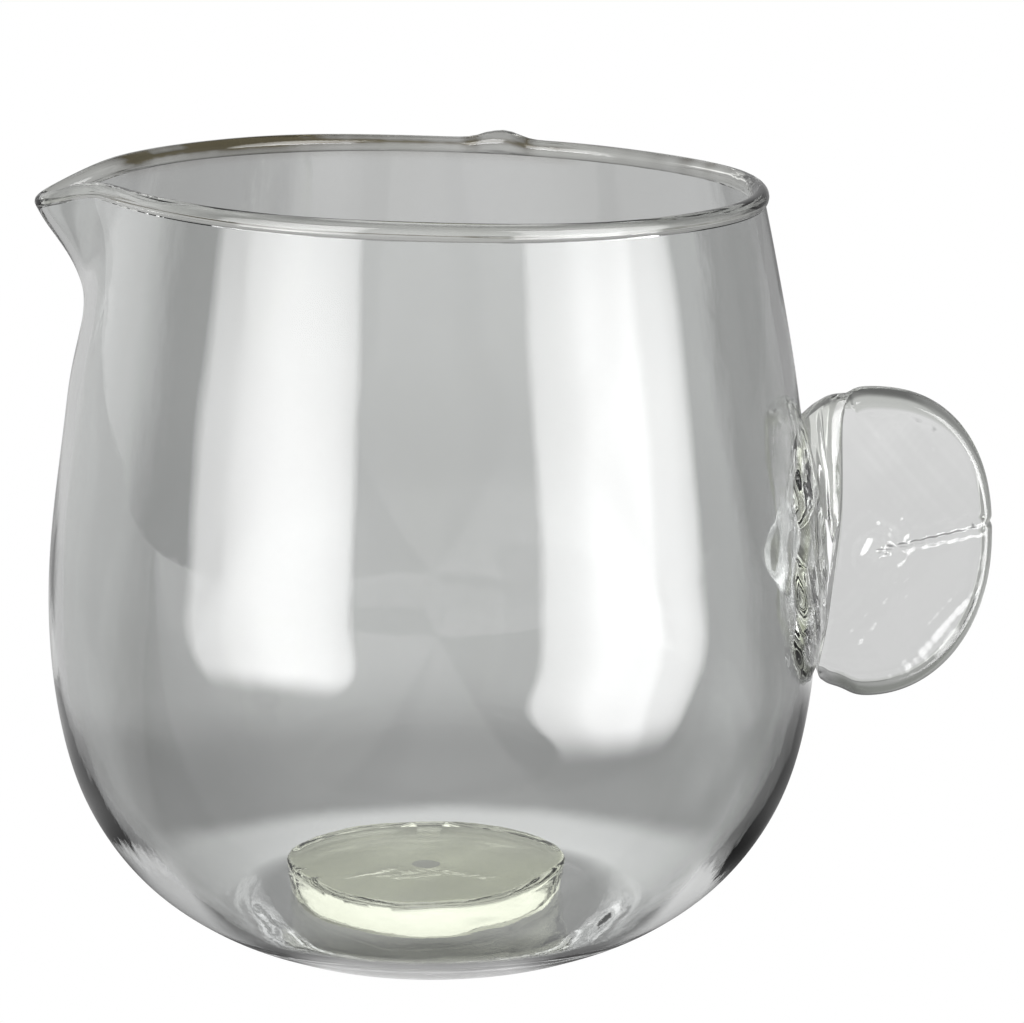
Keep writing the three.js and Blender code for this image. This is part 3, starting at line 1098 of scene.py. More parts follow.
@dataclass
class BasePad:
    """Thick disc of greener glass fused to the floor inside.

    Attributes:
        site: Sizes read from the frame.
        form: Shape of the belly; not used.
        steps: Points round each ring.
        top_rings: Rings of its top.
        edge_rings: Rings of its rounded upper edge.
        edge: How far that rounding reaches in.
        drop: How far it reaches down.
        crown: How far the top stands above the frame's own pad.
        foot: Rounding where the side meets the floor.
        taper: How much narrower the side is at its foot.
    """

    site: Site
    form: BellyForm
    steps: int = 220
    top_rings: int = 36
    edge_rings: int = 11
    edge: float = 1.5
    drop: float = 0.55
    crown: float = 0.15
    foot: float = 0.5
    taper: float = 0.25

    def _profile(self) -> list[tuple[float, float]]:
        """Lays out the side view, from the top's middle out and down to the floor.

        Returns:
            Radius and height of every ring.
        """
        wide = self.site.pad_radius
        floor, top = self.site.span(Node.BASE_PAD, 2)
        top = top + self.crown
        inner = wide - self.edge
        profile = [(inner * float(share), top) for share in np.linspace(0.04, 1.0, self.top_rings)]
        for k in range(1, self.edge_rings + 1):
            a = math.radians(90.0 * k / self.edge_rings)
            profile.append((inner + self.edge * math.sin(a), top - self.drop * (1.0 - math.cos(a))))
        for share in np.linspace(0.0, 1.0, 9)[1:]:
            z = top - self.drop - (top - self.drop - self.foot - floor) * float(share)
            profile.append((wide - self.taper * float(share) ** 3, z))
        for k in range(1, 7):
            a = math.radians(90.0 * k / 6.0)
            radius = wide - self.taper - self.foot * (1.0 - math.cos(a))
            profile.append((radius, floor + self.foot * (1.0 - math.sin(a))))
        return profile

    def build(self, glass: bpy.types.Material, weld: bpy.types.Material) -> bpy.types.Object:
        """Makes the pad.

        Args:
            glass: Finish of its top and side.
            weld: Material of the small round in the middle where it is fused to the floor.

        Returns:
            The finished piece.
        """
        profile = self._profile()
        side_end = len(profile) - 1
        top_end = self.top_rings + self.edge_rings - 1
        floor = profile[-1][1]
        profile += [(profile[-1][0] * share, floor) for share in (0.8, 0.5, 0.25, 0.1)]
        mesh = spun_shell(len(profile), self.steps)
        stain_and_shade = mesh.verts.layers.float.new("stain_and_shade")
        scuff = mesh.verts.layers.float.new("scuff")
        ring_of = {}
        for vert in mesh.verts:
            ring = int(round(vert.co.z))
            heading = math.atan2(vert.co.y, vert.co.x)
            if math.hypot(vert.co.x, vert.co.y) < 0.5:
                ring = -1 if ring < 0 else len(profile)
                radius, z = 0.0, (profile[0][1] if ring < 0 else floor)
            else:
                radius, z = profile[ring]
            ring_of[vert] = ring
            if ring < side_end:
                radius *= 1.0 + 0.004 * math.sin(3.0 * heading + 0.4) + 0.003 * math.sin(7.0 * heading)
                z += self._ripple(radius * math.cos(heading), radius * math.sin(heading)) * (ring < top_end)
            x = radius * math.cos(heading) + self.site.pad_x
            vert.co = Vector((x, radius * math.sin(heading), z)) * self.site.unit
            vert[stain_and_shade] = 0.0
            vert[scuff] = 0.0
        for face in mesh.faces:
            low = min(ring_of[vert] for vert in face.verts)
            face.material_index = int(Skin.WELD if low >= len(profile) - 1 else Skin.GLASS)
        return GlassPiece("floor_pad", Node.BASE_PAD, Slot.PAD).finish(mesh, [glass, weld])

    def _ripple(self, x: float, y: float) -> float:
        """Slow unevenness of the pad's top at one point."""
        swell = 0.05 * math.sin(0.21 * x + 0.8) * math.sin(0.26 * y + 0.3)
        return swell + 0.025 * math.sin(0.5 * x - 0.37 * y) + 0.03 * math.cos(0.15 * math.hypot(x, y))


@dataclass
class HandleSeal:
    """Flattened gather on the wall that carries the handle.

    Attributes:
        site: Sizes read from the frame.
        form: Shape of the belly.
        grid: Grid lines of the belly's outside, a block of which it covers.
        thick: Thickness in its middle.
        thread: Height of the thread along its side edges.
        neck_columns: Columns on each side of its middle that the neck stands on.
        neck_low: Height of the neck's lower end.
        neck_high: Height of the neck's upper end.
    """

    site: Site
    form: BellyForm
    grid: PatchGrid
    thick: float = 1.65
    thread: float = 0.24
    neck_columns: int = 6
    neck_low: float = 64.0
    neck_high: float = 78.9

    def surface(self) -> Grid:
        """Lays out its outer face over the whole block of grid lines.

        Returns:
            Points indexed by row and then column.
        """
        heading, run, u, v = self.grid.seal_block()
        wall = self.form.outside(heading, run)
        normal = self.form.outward(heading, run)
        edge = np.clip(1.0 - u**2, 0.0, 1.0) * np.clip(1.0 - v**2, 0.0, 1.0)
        dome = self.thick * edge**0.75
        thread = self.thread * np.exp(-(((np.abs(u) - 0.88) / 0.07) ** 2))
        thread = thread * np.clip(1.0 - v**2, 0.0, 1.0) ** 0.5
        ripple = 1.0 + 0.07 * np.sin(heading * 0.9 + run * 0.5) + 0.06 * np.sin(run * 0.9 + 1.0)
        lift = dome * ripple + thread * (0.85 + 0.15 * np.sin(run * 0.5))
        lift = np.where(edge > 1e-9, lift, 0.0)
        return wall + normal * lift[..., None]

    def neck_rows(self) -> tuple[int, int]:
        """First and last row of the block that the neck stands on."""
        height = self.form.height_along(self.grid.seal_block()[1])[:, self.grid.seal_columns]
        ends = (self.neck_low, self.neck_high)
        return tuple(int(np.argmin(np.abs(height - end))) for end in ends)

    def neck_block(self) -> Grid:
        """Picks the part of the outer face under the neck.

        Returns:
            Points indexed by column and then row.
        """
        low, high = self.neck_rows()
        middle = self.grid.seal_columns
        reach = self.neck_columns
        block = self.surface()[low : high + 1, middle - reach : middle + reach + 1]
        return np.swapaxes(block, 0, 1)

    def build(self, glass: bpy.types.Material, weld: bpy.types.Material) -> bpy.types.Object:
        """Makes the seal.

        Args:
            glass: Finish of its outer face.
            weld: Material of its inner face and of the part under the neck.

        Returns:
            The finished piece.
        """
        heading, run, u, v = self.grid.seal_block()
        under = self.form.outside(heading, run)
        rim = np.exp(-(((np.maximum(np.abs(u), np.abs(v)) - 0.9) / 0.06) ** 2))
        upper = self.surface()
        rows, columns = under.shape[:2]
        low, high = self.neck_rows()
        middle = self.grid.seal_columns
        mesh = bmesh.new()
        stain_and_shade = mesh.verts.layers.float.new("stain_and_shade")
        mesh.verts.layers.float.new("scuff")
        for outer in (False, True):
            made = bmesh.ops.create_grid(mesh, x_segments=columns - 1, y_segments=rows - 1, size=1.0)
            spots = {}
            for vert in made["verts"]:
                column = int(round((vert.co.x + 1.0) / 2.0 * (columns - 1)))
                row = int(round((vert.co.y + 1.0) / 2.0 * (rows - 1)))
                spots[vert] = (row, column)
            for vert, (row, column) in spots.items():
                vert.co = Vector((upper if outer else under)[row, column] * self.site.unit)
                vert[stain_and_shade] = float(rim[row, column])
            faces = {face for vert in spots for face in vert.link_faces}
            for face in faces:
                places = [spots[vert] for vert in face.verts]
                here = all(low <= place[0] <= high for place in places)
                here = here and all(abs(place[1] - middle) <= self.neck_columns for place in places)
                face.material_index = int(Skin.WELD if here or not outer else Skin.GLASS)
        bmesh.ops.remove_doubles(mesh, verts=mesh.verts[:], dist=1e-7)
        return GlassPiece("handle_seal_gather", Node.HANDLE_SEAL, Slot.SEAL).finish(mesh, [glass, weld])


@dataclass
class HandleDisc:
    """Pressed disc with a straight side towards the belly.

    Attributes:
        site: Sizes read from the frame.
        steps: Points round each ring.
        face_rings: Rings of each face.
        round_rings: Rings of each rounded edge.
        flat_rings: Rings across the thickness.
        neck_steps: Steps of the straight side that the neck stands on.
        neck_low: Height of the neck's lower end.
        neck_high: Height of the neck's upper end.
        chord_z: Heights at which the straight side is given.
        chord_x: Its place at each of them.
        heel: Points where the straight side turns into the lower edge.
        heel_reach: How far the lower edge's curve reaches back under the straight side.
        middle: Where the quarters of the outline meet.
        hub: Middle of the face rings.
        pits: Small pits in the front face: place, width and depth.
        edge_round: Rounding of the edge across the thickness.
        notch: Depth of the nick at the crease's end.
        lean: How much the front face leans.
    """

    site: Site
    steps: int = 340
    face_rings: int = 44
    round_rings: int = 9
    flat_rings: int = 12
    neck_steps: int = 14
    neck_low: float = 62.8
    neck_high: float = 82.2
    chord_z: tuple[float, ...] = (38.6, 41.0, 44.5, 50.0, 56.0, 61.0, 66.0, 72.0, 77.0, 82.3)
    chord_x: tuple[float, ...] = (57.0, 57.3, 58.2, 59.0, 59.6, 60.1, 60.4, 60.4, 60.3, 60.4)
    heel: tuple[tuple[float, float], ...] = ((57.3, 38.5), (58.5, 37.7))
    heel_reach: float = 9.4
    middle: tuple[float, float] = (64.6, 60.2)
    hub: tuple[float, float] = (68.5, 59.6)
    pits: tuple[tuple[float, float, float, float], ...] = (
        (66.4, 62.4, 0.7, 0.34), (68.3, 61.9, 0.6, 0.28), (65.0, 58.6, 0.8, 0.3), (67.6, 59.6, 0.55, 0.3),
        (69.6, 63.4, 0.45, 0.22), (64.2, 61.0, 0.5, -0.2), (70.6, 60.6, 0.6, 0.2), (66.9, 56.4, 0.6, 0.16),
        (73.6, 76.8, 0.35, 0.2), (71.2, 47.2, 0.4, 0.2), (63.4, 66.5, 0.5, 0.14), (67.5, 70.6, 0.7, 0.12),
    )
    edge_round: float = 2.9
    notch: float = 0.35
    lean: float = 0.06

    def __post_init__(self) -> None:
        """Reads the disc's size from the frame and lays out its outline."""
        low_x, high_x = self.site.span(Node.HANDLE_DISC, 0)
        low_z, high_z = self.site.span(Node.HANDLE_DISC, 2)
        low_y, high_y = self.site.span(Node.HANDLE_DISC, 1)
        self.half = 0.5 * (high_y - low_y)
        self.right = high_x - self.middle[0]
        self.up = high_z - self.middle[1]
        self.down = self.middle[1] - low_z
        self.outline = self._outline()

    def _quarter(
        self, reach: tuple[float, float], full: float, start: float, end: float, count: int
    ) -> list[tuple[float, float]]:
        """Lays out one rounded corner.

        Args:
            reach: How far it reaches across and up from the middle.
            full: 2 for an ellipse, more for a fuller corner.
            start: Where it starts, in degrees from +X.
            end: Where it ends.
            count: How many points it has.

        Returns:
            Its points, without the last.
        """
        points = []
        for k in range(count):
            a = math.radians(start + (end - start) * k / count)
            c, s = math.cos(a), math.sin(a)
            x = math.copysign(abs(c) ** (2.0 / full), c) * reach[0]
            z = math.copysign(abs(s) ** (2.0 / full), s) * reach[1]
            points.append((self.middle[0] + x, self.middle[1] + z))
        return points

    def _outline(self) -> Grid:
        """Lays out the outline with even steps, and steps of its own under the neck.

        Returns:
            Its points, from the neck's upper end down the straight side and round.
        """
        raw = list(self.heel)
        raw += self._quarter((self.heel_reach, self.down), 2.2, -113.0, -90.0, 6)
        raw += self._quarter((self.right, self.down), 2.08, -90.0, 0.0, 26)
        raw += self._quarter((self.right, self.up), 2.37, 0.0, 90.0, 26)
        raw += self._quarter((16.0, self.up), 2.0, 90.0, 103.0, 4)
        chord = NaturalCurve(self.chord_z, self.chord_x)
        for z in np.linspace(self.chord_z[-1] - 0.6, self.chord_z[0] + 0.9, 26):
            raw.append((float(chord(z)), float(z)))
        points = np.asarray(raw)
        for _ in range(3):
            points = 0.25 * np.roll(points, 1, 0) + 0.5 * points + 0.25 * np.roll(points, -1, 0)
        closed = np.vstack([points, points[:1]])
        run = np.concatenate([[0.0], np.cumsum(np.linalg.norm(np.diff(closed, axis=0), axis=1))])
        curve_x = NaturalCurve(run, closed[:, 0])
        curve_z = NaturalCurve(run, closed[:, 1])
        fine = np.linspace(0.0, run[-1], 6000)
        fine_x, fine_z = curve_x(fine), curve_z(fine)
        side = fine_x < 61.4
        upper = fine[side][np.argmin(np.abs(fine_z[side] - self.neck_high))]
        lower = fine[side][np.argmin(np.abs(fine_z[side] - self.neck_low))]
        neck = np.linspace(upper, lower, self.neck_steps + 1)
        rest = np.linspace(lower, upper + run[-1], self.steps - self.neck_steps + 1)[1:-1]
        runs = np.concatenate([neck, rest % run[-1]])
        return np.stack([curve_x(runs), curve_z(runs)], axis=-1)

    def _levels(self) -> list[tuple[float, float, float]]:
        """Lists the rings from the front pole to the back pole.

        Returns:
            Share of reach, angle round the edge and side of each ring.
        """
        levels: list[tuple[float, float, float]] = []
        for k in range(self.face_rings):
            levels.append(((k + 1) / (self.face_rings + 1), 0.0, -1.0))
        for k in range(self.round_rings):
            levels.append((1.0, math.radians(90.0 * k / self.round_rings), -1.0))
        self.flat_start = len(levels)
        for k in range(self.flat_rings + 1):
            levels.append((1.0, math.pi / 2.0, -1.0 + 2.0 * k / self.flat_rings))
        mirrored = [(share, a, -side) for share, a, side in reversed(levels[: self.flat_start])]
        return levels + mirrored

    def _edge(self) -> tuple[Grid, Grid]:
        """Sizes the rounding of the edge, which is smaller along the straight side.

        Returns:
            How far it reaches in and across the thickness at each step.
        """
        dx = self.outline[:, 0] - self.middle[0]
        dz = self.outline[:, 1] - self.middle[1]
        angle = np.degrees(np.arctan2(dz, dx))
        wide = 1.35 + 1.55 * bump(angle, 100.0, 55.0) + 0.8 * bump(angle, -90.0, 45.0)
        chord = smoothstep(61.9, 60.9, self.outline[:, 0]) * smoothstep(38.4, 40.0, self.outline[:, 1])
        inset = wide + (0.5 - wide) * chord
        depth = self.edge_round + (0.8 - self.edge_round) * chord
        return inset, depth

    def surface(self) -> Grid:
        """Lays out the whole skin.

        Returns:
            Points indexed by ring and then step.
        """
        hub = np.asarray(self.hub)
        away = self.outline - hub
        reach = np.linalg.norm(away, axis=1)
        inset, depth = self._edge()
        rings = []
        for share, a, side in self._levels():
            rim = (reach - inset * (1.0 - math.sin(a))) / reach
            flat = hub + away * (rim * share)[:, None]
            y = side * (self.half - depth * (1.0 - math.cos(a)))
            if side < 0.0:
                y = y - self.lean * (flat[:, 0] - self.hub[0]) * math.cos(a)
            if a == 0.0:
                y = y + side * self._relief(flat[:, 0], flat[:, 1], side > 0, share)
            notch = self.notch * np.exp(-(((flat[:, 1] - 63.1) / 0.45) ** 2)) * (flat[:, 0] > 80.0) * share
            rings.append(np.stack([flat[:, 0] - notch, y, flat[:, 1]], axis=-1))
        return np.stack(rings)

    def _relief(self, x: Grid, z: Grid, back: bool, share: float) -> Grid:
        """Press marks on a face of the disc.

        Args:
            x: Places across the disc.
            z: Heights.
            back: True for the far face.
            share: How far out the ring lies, so that marks fade at the rim.

        Returns:
            How far the face stands out, in millimetres.
        """
        dx, dz = x - 66.6, z - 59.2
        out = np.hypot(dx, dz)
        turn = np.arctan2(dz, dx)
        swirl = 0.045 * np.sin(out * 2.3 - turn * 2.0 + 0.6 * np.sin(3.0 * turn))
        swirl = swirl * np.exp(-((out / 5.5) ** 2))
        slow = 0.05 * np.sin(0.35 * x + 0.6) * np.sin(0.29 * z + 0.4) + 0.015 * np.sin(0.6 * x - 0.5 * z)
        warp = 1.6 * np.sin(0.31 * z + 0.5) + 1.1 * np.sin(0.47 * x + 1.9)
        slow = slow + 0.016 * np.sin(1.5 * x + warp) * np.sin(1.2 * z - warp)
        slow = slow + 0.008 * np.sin(3.2 * x - 1.5 * warp) * np.sin(2.7 * z + 1.2 * warp)
        combed = 0.04 * np.sin(z * 4.6 + 0.9 * np.sin(x * 1.3)) * bump(z, 43.5, 3.4) * bump(x, 61.5, 4.4)
        pits = np.zeros_like(x)
        for px, pz, wide, deep in self.pits:
            pits = pits - 0.32 * deep * np.exp(-(((x - px) ** 2 + (z - pz) ** 2) / wide**2))
        relief = slow + combed
        if back:
            return 0.6 * relief * smoothstep(1.0, 0.9, np.full_like(x, share))
        line = z - (58.9 + 0.235 * (x - 66.0) + 0.1 * np.sin(x * 3.1) + 0.06 * np.sin(x * 7.3))
        crease = -0.12 * np.exp(-((line / 0.3) ** 2)) + 0.07 * np.exp(-(((line + 0.6) / 0.4) ** 2))
        crease = crease * smoothstep(65.2, 66.4, x)
        return (relief + swirl + pits) * smoothstep(1.0, 0.93, np.full_like(x, share)) + crease

    def neck_block(self) -> Grid:
        """Points of the straight side under the neck, indexed by column and then row."""
        rings = self.surface()[self.flat_start : self.flat_start + self.flat_rings + 1]
        return rings[:, : self.neck_steps + 1][:, ::-1]

    def build(self, glass: bpy.types.Material, weld: bpy.types.Material) -> bpy.types.Object:
        """Makes the disc.

        Args:
            glass: Finish of its faces and edge.
            weld: Material of the part under the neck.

        Returns:
            The finished piece.
        """
        rings = self.surface()
        count, steps = rings.shape[:2]
        mesh = spun_shell(count, steps)
        stain_and_shade = mesh.verts.layers.float.new("stain_and_shade")
        scuff = mesh.verts.layers.float.new("scuff")
        where = {}
        for vert in mesh.verts:
            ring = int(round(vert.co.z))
            if math.hypot(vert.co.x, vert.co.y) < 0.5:
                where[vert] = (-1 if ring < 0 else count, 0)
            else:
                step = int(round(math.atan2(vert.co.y, vert.co.x) / (2.0 * math.pi) * steps)) % steps
                where[vert] = (ring, step)
        for vert, (ring, step) in where.items():
            if ring < 0 or ring >= count:
                near = rings[0 if ring < 0 else count - 1].mean(axis=0)
                vert.co = Vector((self.hub[0], float(near[1]), self.hub[1])) * self.site.unit
            else:
                vert.co = Vector(rings[ring, step]) * self.site.unit
            vert[stain_and_shade] = 0.0
            # Painted shade: the rounded edge is greyed away from the belly, standing in for the dark
            # refraction at the disc's rim.
            if self.face_rings < ring < count - 1 - self.face_rings:
                vert[stain_and_shade] = float(smoothstep(58.8, 61.5, rings[ring, step, 0]))
            vert[scuff] = 0.0
        last = self.flat_start + self.flat_rings
        for face in mesh.faces:
            spots = [where[vert] for vert in face.verts]
            inside = all(self.flat_start <= spot[0] <= last and spot[1] <= self.neck_steps for spot in spots)
            face.material_index = int(Skin.WELD if inside else Skin.GLASS)
        piece = GlassPiece("handle_plate", Node.HANDLE_DISC, Slot.DISC, crease=60.0)
        return piece.finish(mesh, [glass, weld])


@dataclass
class HandleNeck:
    """Short bit of glass between seal and disc whose lower end is folded over.

    Attributes:
        site: Sizes read from the frame.
        seal: The seal it stands on.
        disc: The disc it carries.
        layers: Layers between its two ends.
        tail: How far its lower end hangs down.
        crown: How far its upper end rises.
        swell: How far its sides stand out.
    """

    site: Site
    seal: HandleSeal
    disc: HandleDisc
    layers: int = 18
    tail: float = 4.2
    crown: float = 1.2
    swell: float = 0.9

    def build(self, glass: bpy.types.Material, weld: bpy.types.Material) -> bpy.types.Object:
        """Makes the neck.

        Args:
            glass: Finish of its open sides.
            weld: Material of its two ends.

        Returns:
            The finished piece.
        """
        start = self.seal.neck_block()
        end = self.disc.neck_block()
        columns, rows = start.shape[:2]
        mesh = bmesh.new()
        stain_and_shade = mesh.verts.layers.float.new("stain_and_shade")
        mesh.verts.layers.float.new("scuff")
        bmesh.ops.create_grid(mesh, x_segments=columns - 1, y_segments=rows - 1, size=1.0)
        cap = mesh.faces[:]
        for layer in range(self.layers):
            made = bmesh.ops.extrude_face_region(mesh, geom=cap)
            if layer > 0:
                bmesh.ops.delete(mesh, geom=cap, context="FACES")
            cap = [item for item in made["geom"] if isinstance(item, bmesh.types.BMFace)]
            points = [item for item in made["geom"] if isinstance(item, bmesh.types.BMVert)]
            bmesh.ops.translate(mesh, vec=(0.0, 0.0, 1.0), verts=points)
        spots = {}
        for vert in mesh.verts:
            column = int(round((vert.co.x + 1.0) / 2.0 * (columns - 1)))
            row = int(round((vert.co.y + 1.0) / 2.0 * (rows - 1)))
            spots[vert] = (column, row, int(round(vert.co.z)))
        for face in mesh.faces:
            layer = {spots[vert][2] for vert in face.verts}
            face.material_index = int(Skin.WELD if len(layer) == 1 else Skin.GLASS)
        for vert, (column, row, layer) in spots.items():
            t = layer / self.layers
            side = 2.0 * column / (columns - 1) - 1.0
            rise = 2.0 * row / (rows - 1) - 1.0
            place = self._place(start[column, row], end[column, row], t, side, rise)
            vert.co = Vector(place) * self.site.unit
            vert[stain_and_shade] = 0.0
        return GlassPiece("handle_neck_bit", Node.HANDLE_NECK, Slot.NECK).finish(mesh, [glass, weld])

    def _place(self, near: Grid, far: Grid, t: float, side: float, rise: float) -> Grid:
        """Place of one point of the neck.

        Args:
            near: Its end on the seal.
            far: Its end on the disc.
            t: Share of the way between them.
            side: Place across the neck from -1 to 1.
            rise: Place up the neck from -1 to 1.

        Returns:
            The point in design millimetres.
        """
        point = near + (far - near) * t
        arch = math.sin(math.pi * t)
        lobes = arch * (1.0 - 0.55 * math.exp(-(((t - 0.42) / 0.13) ** 2)))
        size = max(abs(side), abs(rise))
        out = math.hypot(side, rise)
        if out > 0.0:
            lean_y, lean_z = side / out * size, rise / out * size
        else:
            lean_y, lean_z = 0.0, 0.0
        point[1] += self.swell * lobes * lean_y
        if rise > 0.0:
            point[2] += self.crown * arch * lean_z * rise
        else:
            hang = math.exp(-(((t - 0.66) / 0.24) ** 2)) * arch
            point[2] += self.tail * hang * lean_z * abs(rise) ** 3
            point[1] *= 1.0 - 0.35 * hang * abs(rise) ** 3
        return point


# ------------------------------------------------------------------ studio


@dataclass(frozen=True)
class Ramp:
    """Grey levels along a line, as (place from 0 to 1, level) pairs.

    Attributes:
        stops: The pairs in rising order.
    """

    stops: tuple[tuple[float, float], ...]

    def add(self, tree: bpy.types.NodeTree, fac: bpy.types.NodeSocket) -> bpy.types.NodeSocket:
        """Adds the ramp to a node tree.

        Args:
            tree: The nodes to add it to.
            fac: Socket that tells the place along the line.

        Returns:
            The socket with the level there.
        """
        node = tree.nodes.new("ShaderNodeValToRGB")
        node.color_ramp.interpolation = "EASE"
        elements = node.color_ramp.elements
        while len(elements) < len(self.stops):
            elements.new(0.5)
        for element, (place, level) in zip(elements, self.stops):
            element.position = place
            element.color = (level, level, level, 1.0)
        tree.links.new(fac, node.inputs["Fac"])
        return node.outputs["Color"]


@dataclass(frozen=True)
class SoftPanel:
    """Tall diffused light whose lower half lies flat on the table as a painted pool of its light in front of
    it.

    Attributes:
        name: Its name.
        inner: Heading of the edge nearer the camera, from the table's end up to the top.
        outer: Heading of the far edge at the same levels.
        near: Where its painted pool of light on the table starts, in metres from the jug's axis.
        glow: Its brightness.
        across: Share of its brightness from the inner edge to the outer one.
        low_fade: Share of its height over which it fades in from its lower end.
        top_glow: Share of its brightness left at the top.
        deep_glow: Share of its brightness that reaches glass behind glass.
        away: Distance of its upright part from the jug's axis, in metres.
        high: Height of its upper end in metres.
        rise: Height of the belly's fullest part, which its painted pool of light on the table must meet.
        belly: Radius of the belly in metres.
        lift: How far the painted pool of light lies above the table.
    """

    name: str
    inner: tuple[float, ...]
    outer: tuple[float, ...]
    near: float
    glow: float
    across: tuple[tuple[float, float], ...] = ((0.0, 0.0), (0.04, 1.0), (0.9, 1.0), (1.0, 0.0))
    low_fade: float = 0.2
    top_glow: float = 0.55
    deep_glow: float = 0.09
    away: float = 0.9
    high: float = 0.86
    rise: float = 0.042
    belly: float = 0.057
    lift: float = 0.0008

    def build(self) -> None:
        """Makes the panel and adds it to the stage."""
        mesh = bmesh.new()
        glow = mesh.verts.layers.float.new("glow")
        made = bmesh.ops.create_grid(mesh, x_segments=90, y_segments=70, size=1.0)
        levels = np.linspace(0.0, 1.0, len(self.inner))
        inner = NaturalCurve(levels, self.inner)
        outer = NaturalCurve(levels, self.outer)
        steep = math.degrees(math.atan2(self.rise, self.near - self.belly))
        for vert in made["verts"]:
            u = 0.5 * (vert.co.x + 1.0)
            v = 0.5 * (vert.co.y + 1.0)
            a = math.radians(float(inner(v)) * (1.0 - u) + float(outer(v)) * u)
            # Lower half: painted pool of the panel's light, lying flat on the table.
            if v < 0.5:
                dip = math.radians(steep + (2.9 - steep) * v * 2.0)
                reach = min(self.away, self.belly + self.rise / math.tan(dip))
                z = self.lift
            else:
                reach = self.away
                z = self.lift + self.high * (v - 0.5) * 2.0
            level = float(np.interp(u, [at for at, _ in self.across], [share for _, share in self.across]))
            level *= float(smoothstep(0.0, self.low_fade, v))
            level *= 1.0 - (1.0 - self.top_glow) * float(smoothstep(0.56, 0.72, v))
            vert.co = Vector((reach * math.sin(a), -reach * math.cos(a), z))
            vert[glow] = level
        data = bpy.data.meshes.new(self.name)
        mesh.to_mesh(data)
        mesh.free()
        panel = bpy.data.objects.new(self.name, data)
        bpy.context.scene.collection.objects.link(panel)
        panel.visible_camera = False
        data.materials.append(self._material())
        panel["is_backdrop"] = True

    def _material(self) -> bpy.types.Material:
        """Light where the panel glows, nothing where it has faded.

        Returns:
            The panel's material.
        """
        material = bpy.data.materials.new(self.name)
        material.use_nodes = True
        tree = material.node_tree
        tree.nodes.clear()
        output = tree.nodes.new("ShaderNodeOutputMaterial")
        light = tree.nodes.new("ShaderNodeEmission")
        path = tree.nodes.new("ShaderNodeLightPath")
        fade = tree.nodes.new("ShaderNodeMapRange")
        fade.interpolation_type = "STEPPED"
        fade.inputs["From Min"].default_value = 1.0
        fade.inputs["From Max"].default_value = 4.0
        fade.inputs["To Min"].default_value = self.glow
        fade.inputs["To Max"].default_value = self.glow * self.deep_glow
        fade.inputs["Steps"].default_value = 2.0
        tree.links.new(path.outputs["Ray Depth"], fade.inputs["Value"])
        tree.links.new(fade.outputs["Result"], light.inputs["Strength"])
        clear = tree.nodes.new("ShaderNodeBsdfTransparent")
        level = tree.nodes.new("ShaderNodeAttribute")
        level.attribute_name = "glow"
        mix = tree.nodes.new("ShaderNodeMixShader")
        tree.links.new(level.outputs["Fac"], mix.inputs["Fac"])
        tree.links.new(clear.outputs["BSDF"], mix.inputs[1])
        tree.links.new(light.outputs["Emission"], mix.inputs[2])
        tree.links.new(mix.outputs["Shader"], output.inputs["Surface"])
        return material


